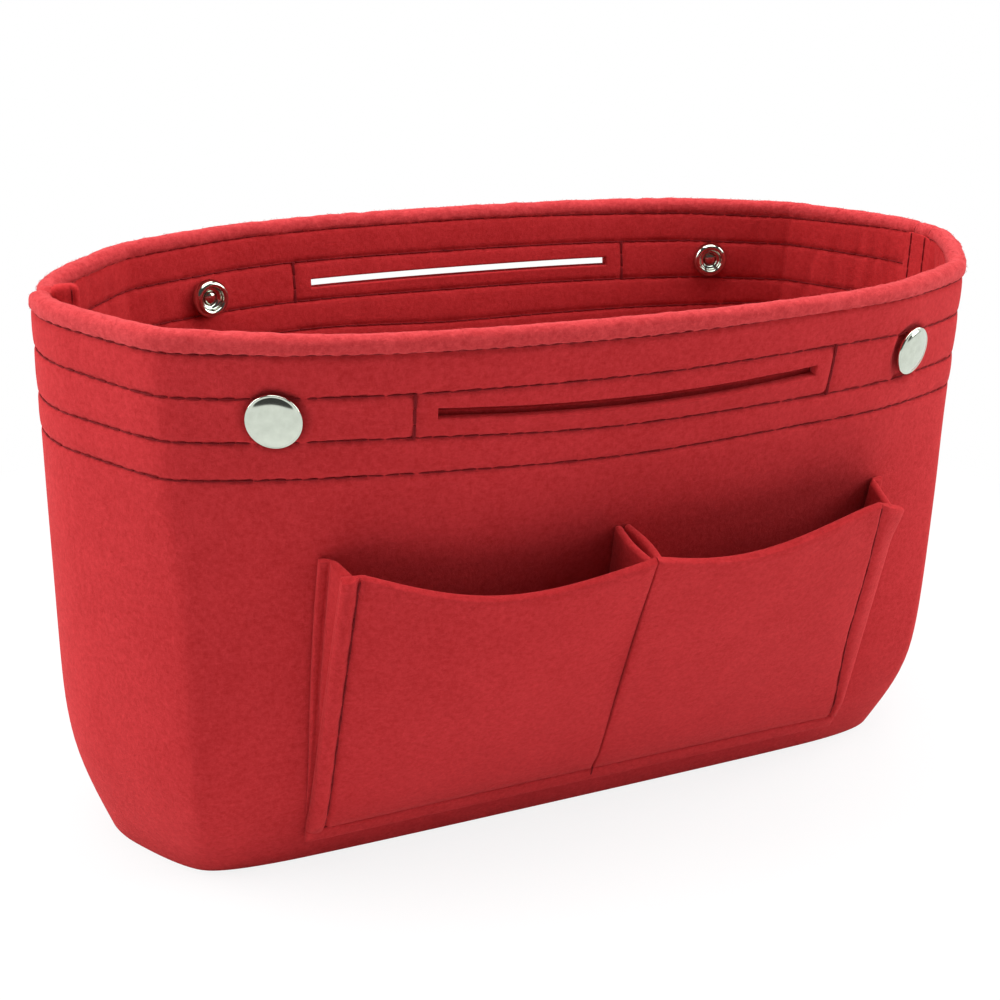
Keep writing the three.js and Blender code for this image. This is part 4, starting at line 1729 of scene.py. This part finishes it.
        def flat(outward: Array | float, lift: Array | float) -> Array:
            """Points over the wall, beside the pocket's edge."""
            x = edge + hand.value * outward
            y = self.form.face(Side.FRONT, x, z)[:, 1] - half - 0.15 - lift
            return np.stack([x, y, z], -1)

        reach = 0.5 + line.flange * np.sin(0.5 * math.pi * np.clip(rise, 0.0, 1.0))
        tip = np.stack([edge - 0.8 * hand.value, front[:, 1] + 0.15, front[:, 2]], -1)
        gap = flat(0.0, 0.0)[:, 1] - tip[:, 1]
        turn = flat(0.5 * reach, 0.0)
        root = flat(0.28 * reach, np.minimum(half, 0.3 * gap))
        sheet = self.bellows_sheet([flat(reach, 0.0), turn, root, (root + tip) / 2.0, tip])
        crease = (turn + root) / 2.0
        away = np.linalg.norm(sheet.middle - crease[:, None], axis=-1)
        sheet.face_lift = -0.6 * half[:, None] * ridge(away, 0.0, 0.9)
        sheet.back_lift = sheet.face_lift
        return sheet

    def pleat_sheet(self, hand: Hand) -> FeltSheet:
        """One layer of the pleat between the two pockets."""
        z, front = self.bellows_lines(hand, self.pleat_share, self.middle.rear)
        rise = self.rise(z)
        near = self.middle.at(rise) + hand.value * (self.pleat_half_gap + self.bellows_half(z))
        wall = np.stack([near, self.form.face(Side.FRONT, near, z)[:, 1] - 0.2, z], -1)
        tip = np.stack([near, front[:, 1] + 0.25, front[:, 2]], -1)
        bow = np.zeros_like(wall)
        bow[:, 0] = hand.value * self.pleat_bow * np.clip(rise, 0.0, 1.0) ** 1.5
        bends = ((0.0, 0.0), (0.22, 0.7), (0.5, 1.25), (0.78, 0.8), (1.0, 0.0))
        return self.bellows_sheet([wall + (tip - wall) * share + bow * size for share, size in bends])

    def hem_sheet(self) -> FeltSheet:
        """Foot of the pocket strip, sewn flat to the wall."""
        start, stop = self.left.foot - 0.6, self.right.foot + 0.6
        x = ruled_lines(start, stop, 2.2, edge_lines(start, stop, 1.2))
        z = ruled_lines(self.hem_low, self.hem_high, 1.2, edge_lines(self.hem_low, self.hem_high, 1.2))
        middle = self.form.face(Side.FRONT, x[None, :], z[:, None], -(self.form.felt / 2.0 + self.foot_gap))
        return FeltSheet(middle, x, z, self.form.felt)

    def hem_thread(self) -> Shell:
        """Thread in the groove between pockets and hem, and the short upright tack under the pleat."""
        form = self.form
        face = form.felt + self.foot_gap
        centre = self.middle.foot
        runs = ((self.left.foot + 2.5, centre - 0.5), (centre + 0.5, self.right.foot - 2.5))
        lines = []
        for number, ends in enumerate(runs):
            x = np.linspace(*ends, 120)
            z = np.full_like(x, self.hem_high)
            u = form.face_u(Side.FRONT, x, z)
            path = form.face(Side.FRONT, x, z, 0.35 - face)
            lines.append(Stitching().run(path, form.outward(u, z), 100 + number))
        z = np.linspace(self.hem_high - 3.2, self.hem_high + 0.4, 10)
        x = np.full_like(z, centre)
        u = form.face_u(Side.FRONT, x, z)
        lines.append(Stitching().run(form.face(Side.FRONT, x, z, -0.1 - face), form.outward(u, z), 110))
        return Shell.joined(lines)

    def side_thread(self, hand: Hand) -> Shell:
        """Thread down the outer ridge of one pocket front."""
        rise = np.linspace(0.0, 0.985, 60)
        share = self.stitch(hand, rise) / self.width
        path = self.front(hand, share, rise, self.form.felt - 0.5)
        step = self.front(hand, share + 0.006, rise, 0.0) - self.front(hand, share - 0.006, rise, 0.0)
        out = unit(np.cross(-hand.value * step, np.gradient(path, axis=0)))
        return Stitching().run(path, out, 120 + hand.value)

    def edge_fuzz(self, hand: Hand) -> Shell:
        """Loose fibres along the cut top edge of one pocket front."""
        rng = np.random.default_rng(130 + hand.value)
        share = rng.uniform(0.01, 0.99, self.hairs)
        depth = rng.uniform(0.2, self.form.felt - 0.2, self.hairs)
        roots = self.front(hand, share, np.full(self.hairs, 0.998), depth)
        tilt = 0.5 - depth / self.form.felt
        outward = unit(np.stack([np.zeros(self.hairs), tilt, np.ones(self.hairs)], -1))
        return Fuzz(shortest=0.3, longest=0.8).hairs(roots, outward, 140 + hand.value)

    def fold_line(self, hand: Hand, share: float) -> tuple[tuple[float, ...], tuple[float, ...]]:
        """Points between which a bellows side passes from the tub to the pocket front.

        Args:
            hand: Left or right.
            share: Share of the way from the outer line to the middle one.

        Returns:
            Start and end in metres, square to the line halfway between wall and front.
        """
        head = self.front(hand, share, 1.0, 0.0)
        wall = self.form.face(Side.FRONT, head[0], head[2])
        hinge = np.array([self.hinge_y, self.foot])
        halfway = (wall[1:] + head[1:]) / 2.0 - hinge
        reach = abs(head[1] - wall[1]) / 2.0
        middle = hinge + halfway / 2.0
        halfway = unit(halfway)
        across = np.array([-halfway[1], halfway[0]])
        across = across * np.sign(-across[0])
        ends = [(0.0, *((middle + way * reach * across) * MM)) for way in (-0.3, 0.7)]
        return ends[0], ends[1]

    def build(self, wardrobe: Wardrobe) -> None:
        """Makes the pocket strip and its thread, and the front, thread, fuzz, gusset and pleat of each
        pocket.
        """
        hem = self.hem_sheet()
        piece = hem.shell().to_object("pocket_hem_strip")
        dress(piece, wardrobe.outer, ["pocket_hem"])
        width, _, _ = hem.flat_size()
        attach(piece, TUB)
        thread = self.hem_thread().to_object("pocket_hem_thread")
        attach(dress(thread, wardrobe.thread), TUB)
        for hand in Hand:
            name = hand.name.lower()
            pocket = self.pocket(hand)
            piece = pocket.shell().to_object(f"{name}_pocket_face")
            dress(piece, wardrobe.outer, [f"pocket_front_{name}"])
            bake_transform(piece)
            thread = self.side_thread(hand).to_object(f"{name}_pocket_thread")
            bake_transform(dress(thread, wardrobe.thread))
            fuzz = self.edge_fuzz(hand).to_object(f"{name}_pocket_fuzz")
            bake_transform(dress(fuzz, wardrobe.outer))
            sides = (
                ("gusset", self.gusset_sheet(hand), self.gusset_share),
                ("pleat", self.pleat_sheet(hand), self.pleat_share),
            )
            for label, sheet, share in sides:
                piece = sheet.shell().to_object(f"{name}_{label}_fold")
                dress(piece, wardrobe.outer, [f"{label}_{name}"])
                start, end = self.fold_line(hand, share)
                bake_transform(piece)


@dataclass(frozen=True)
class PressStuds:
    """Press studs: capped posts outside, studs inside the front and sockets inside the back."""

    form: TubForm
    sides: int = 72
    cap: tuple[tuple[float, float], ...] = (
        (0.0, -7.0), (1.6, -7.0), (1.9, -6.8), (1.9, 0.45), (4.0, 0.4), (6.2, 0.4), (6.6, 0.5),
        (6.84, 0.72), (6.98, 1.05), (7.03, 1.35), (7.0, 1.6), (6.91, 1.78), (6.79, 1.86), (6.68, 1.86),
        (6.58, 1.82), (6.5, 1.8), (6.3, 1.88), (6.0, 2.03), (5.4, 2.3), (4.6, 2.53), (3.6, 2.7),
        (2.4, 2.83), (1.2, 2.885), (0.0, 2.9),
    )
    stud: tuple[tuple[float, float], ...] = (
        (0.0, -9.9), (1.4, -9.88), (2.4, -9.75), (2.95, -9.45), (3.25, -9.0), (3.3, -8.5), (3.1, -7.9),
        (2.9, -7.4), (2.95, -7.0), (3.3, -6.78), (4.4, -6.7), (5.2, -6.62), (5.5, -6.45), (5.62, -6.15),
        (5.55, -5.8), (5.4, -5.6), (2.3, -5.6), (2.3, -8.4), (0.0, -8.6),
    )
    socket: tuple[tuple[float, float], ...] = (
        (2.3, -5.6), (2.3, -6.8), (3.0, -6.85), (3.45, -7.0), (3.55, -7.6), (3.62, -8.3), (3.9, -8.65),
        (4.4, -8.82), (4.9, -8.76), (5.3, -8.5), (5.65, -8.0), (5.88, -7.3), (6.0, -6.5), (5.95, -5.95),
        (5.7, -5.6), (2.3, -5.6),
    )

    def turned(self, profile: Sequence[tuple[float, float]], side: Side, x: float) -> Shell:
        """Piece turned about the line through the wall.

        Args:
            profile: Radius and height out of the wall along the outline.
            side: Front or back.
            x: Distance along the tub.

        Returns:
            Its shell, in place.
        """
        form = self.form
        z = form.band_centre
        u = form.face_u(side, x, z)
        centre = form.wall(u, z)
        out = form.outward(u, z)
        up = unit(np.array([0.0, 0.0, 1.0]) - out * out[2])
        beside = np.cross(out, up)
        angle = 2.0 * math.pi * np.arange(self.sides) / self.sides
        ring = np.cos(angle)[:, None] * beside + np.sin(angle)[:, None] * up
        outline = np.array(profile)
        points = centre + outline[:, :1, None] * ring[None] + outline[:, 1:, None] * out
        index = np.arange(points.shape[0] * self.sides).reshape(-1, self.sides)
        closed = math.dist(profile[0], profile[-1]) < 1e-9
        if closed:
            index[-1] = index[0]
        wrapped = np.concatenate([index, index[:, :1]], 1)
        faces = [grid_faces(wrapped)]
        if not closed:
            tips = [index[0, 0], index[-1, 0]]
            first = np.stack([np.full(self.sides, tips[0]), wrapped[1, 1:], wrapped[1, :-1]], -1)
            last = np.stack([np.full(self.sides, tips[1]), wrapped[-2, :-1], wrapped[-2, 1:]], -1)
            faces = [grid_faces(wrapped[1:-1]), first, last]
        return Shell(points.reshape(-1, 3), faces)

    def build(self, wardrobe: Wardrobe) -> None:
        """Makes the four caps, two studs and two sockets."""
        for hand in Hand:
            name = hand.name.lower()
            x = hand.value * self.form.stud_x
            kinds = (
                (f"cap_front_{name}", self.cap, Side.FRONT, f"snap_cap_front_{name}"),
                (f"cap_back_{name}", self.cap, Side.BACK, f"snap_cap_back_{name}"),
                (f"stud_{name}", self.stud, Side.FRONT, f"snap_stud_{name}"),
                (f"socket_{name}", self.socket, Side.BACK, f"snap_socket_{name}"),
            )
            for label, profile, side, node in kinds:
                piece = self.turned(profile, side, x).to_object(label)
                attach(dress(piece, wardrobe.nickel, [node]), TUB)


@dataclass(frozen=True)
class Lamp:
    """Soft box aimed at the insert."""

    name: str
    place: tuple[float, float, float]
    size: float
    power: float
    aim: tuple[float, float, float] = (0.0, 0.0, 0.08)


@dataclass(frozen=True)
class Studio:
    """White floor, soft boxes, surround and camera."""

    lamps: tuple[Lamp, ...] = (
        Lamp("left_box", (-1.0, 0.38, 0.64), 0.8, 13.8),
        Lamp("right_box", (1.0, -0.28, 0.66), 0.8, 11.3),
        Lamp("top_box", (0.0, 0.0, 1.2), 1.0, 13.3),
    )
    surround: float = 0.335
    camera_place: tuple[float, float, float] = (-0.14347, -0.34274, 0.25766)
    yaw: float = 21.2001
    pitch: float = 24.3903
    roll: float = 1.1236
    lens: float = 45.59

    def camera(self) -> None:
        """Camera where the photographer stood."""
        yaw, pitch, roll = (math.radians(part) for part in (self.yaw, self.pitch, self.roll))
        ahead = np.array([
            math.sin(yaw) * math.cos(pitch), math.cos(yaw) * math.cos(pitch), -math.sin(pitch),
        ])
        level = np.array([math.cos(yaw), -math.sin(yaw), 0.0])
        above = np.cross(level, ahead)
        right = math.cos(roll) * level + math.sin(roll) * above
        top = -math.sin(roll) * level + math.cos(roll) * above
        data = bpy.data.cameras.new("camera")
        data.lens = self.lens
        data.sensor_width = 36.0
        data.sensor_fit = "HORIZONTAL"
        data.clip_start = 0.01
        data.clip_end = 50.0
        camera = bpy.data.objects.new("camera", data)
        turn = Matrix(np.stack([right, top, -ahead], 1).tolist()).to_4x4()
        camera.matrix_world = Matrix.Translation(self.camera_place) @ turn
        bpy.context.scene.collection.objects.link(camera)
        bpy.context.scene.camera = camera

    def boxes(self) -> None:
        """Soft boxes round the insert."""
        for lamp in self.lamps:
            data = bpy.data.lights.new(lamp.name, "AREA")
            data.shape = "SQUARE"
            data.size = lamp.size
            data.energy = lamp.power
            made = bpy.data.objects.new(lamp.name, data)
            way = unit(np.array(lamp.place) - np.array(lamp.aim))
            side = unit(np.cross((0.0, 1.0, 0.0) if abs(way[2]) > 0.9 else (0.0, 0.0, 1.0), way))
            turn = Matrix(np.stack([side, np.cross(way, side), way], 1).tolist()).to_4x4()
            made.matrix_world = Matrix.Translation(lamp.place) @ turn
            bpy.context.scene.collection.objects.link(made)

    def world(self) -> None:
        """White surround where it is seen, with a darker ceiling in the reflections."""
        made = bpy.data.worlds.new("studio")
        made.use_nodes = True
        bpy.context.scene.world = made
        pen = NodePen(made.node_tree)
        shown, camera = pen.seen_rays()
        way = pen.node("ShaderNodeTexCoord").outputs["Generated"]
        height = pen.node("ShaderNodeSeparateXYZ", in_Vector=way).outputs["Z"]
        ceiling = pen.node("ShaderNodeMapRange", in_Value=height)
        ceiling.inputs["From Min"].default_value = 0.04
        ceiling.inputs["From Max"].default_value = 0.1
        ceiling.inputs["To Min"].default_value = 1.0
        ceiling.inputs["To Max"].default_value = 0.06
        seen = pen.math("MAXIMUM", ceiling.outputs[0], camera)
        white = pen.node("ShaderNodeBackground", in_Color=seen, in_Strength=1.0)
        soft = pen.node("ShaderNodeBackground", in_Color=(1.0, 1.0, 1.0, 1.0), in_Strength=self.surround)
        mix = pen.node("ShaderNodeMixShader", in_0=shown, in_1=soft.outputs[0], in_2=white.outputs[0])
        pen.node("ShaderNodeOutputWorld", in_Surface=mix.outputs[0])

    def floor(self) -> None:
        """White table that takes the shadow and runs out into the white surround."""
        reach = 3.0
        corners = [(-reach, -reach, 0.0), (reach, -reach, 0.0), (reach, reach, 0.0), (-reach, reach, 0.0)]
        mesh = bpy.data.meshes.new("table")
        mesh.from_pydata(corners, [], [(0, 1, 2, 3)])
        table = bpy.data.objects.new("table", mesh)
        bpy.context.scene.collection.objects.link(table)
        made, pen = new_material("white_table")
        shown, _ = pen.seen_rays()
        place = pen.node("ShaderNodeTexCoord").outputs["Object"]
        away = pen.node("ShaderNodeVectorMath", operation="LENGTH", in_0=place).outputs["Value"]
        fade = pen.node("ShaderNodeMapRange", in_Value=away)
        fade.inputs["From Min"].default_value = 0.12
        fade.inputs["From Max"].default_value = 0.34
        fade.inputs["To Min"].default_value = 0.84
        fade.inputs["To Max"].default_value = 1.0
        share = pen.math("MULTIPLY", fade.outputs[0], shown)
        matt = pen.node("ShaderNodeBsdfDiffuse", in_Color=(0.86, 0.86, 0.86, 1.0))
        glow = pen.node("ShaderNodeEmission", in_Color=(1.0, 1.0, 1.0, 1.0), in_Strength=1.0)
        mix = pen.node("ShaderNodeMixShader", in_0=share, in_1=matt.outputs[0], in_2=glow.outputs[0])
        pen.node("ShaderNodeOutputMaterial", in_Surface=mix.outputs[0])
        table.data.materials.append(made)

    def build(self) -> None:
        """Sets the stage."""
        bpy.context.scene.view_settings.view_transform = "Standard"
        self.camera()
        self.boxes()
        self.world()
        self.floor()


def main() -> None:
    """Builds the stage and every piece of the insert in order."""
    logging.basicConfig(level=logging.INFO, format="%(name)s %(message)s")
    Studio().build()
    wardrobe = Wardrobe.made()
    form = TubForm()
    for part in (
        TubWalls(form), RimRoll(form), BasePanel(form), EndSeams(form),
        SlipPockets(form), FrontPockets(form), PressStuds(form),
    ):
        part.build(wardrobe)


if __name__ == "__main__":
    main()
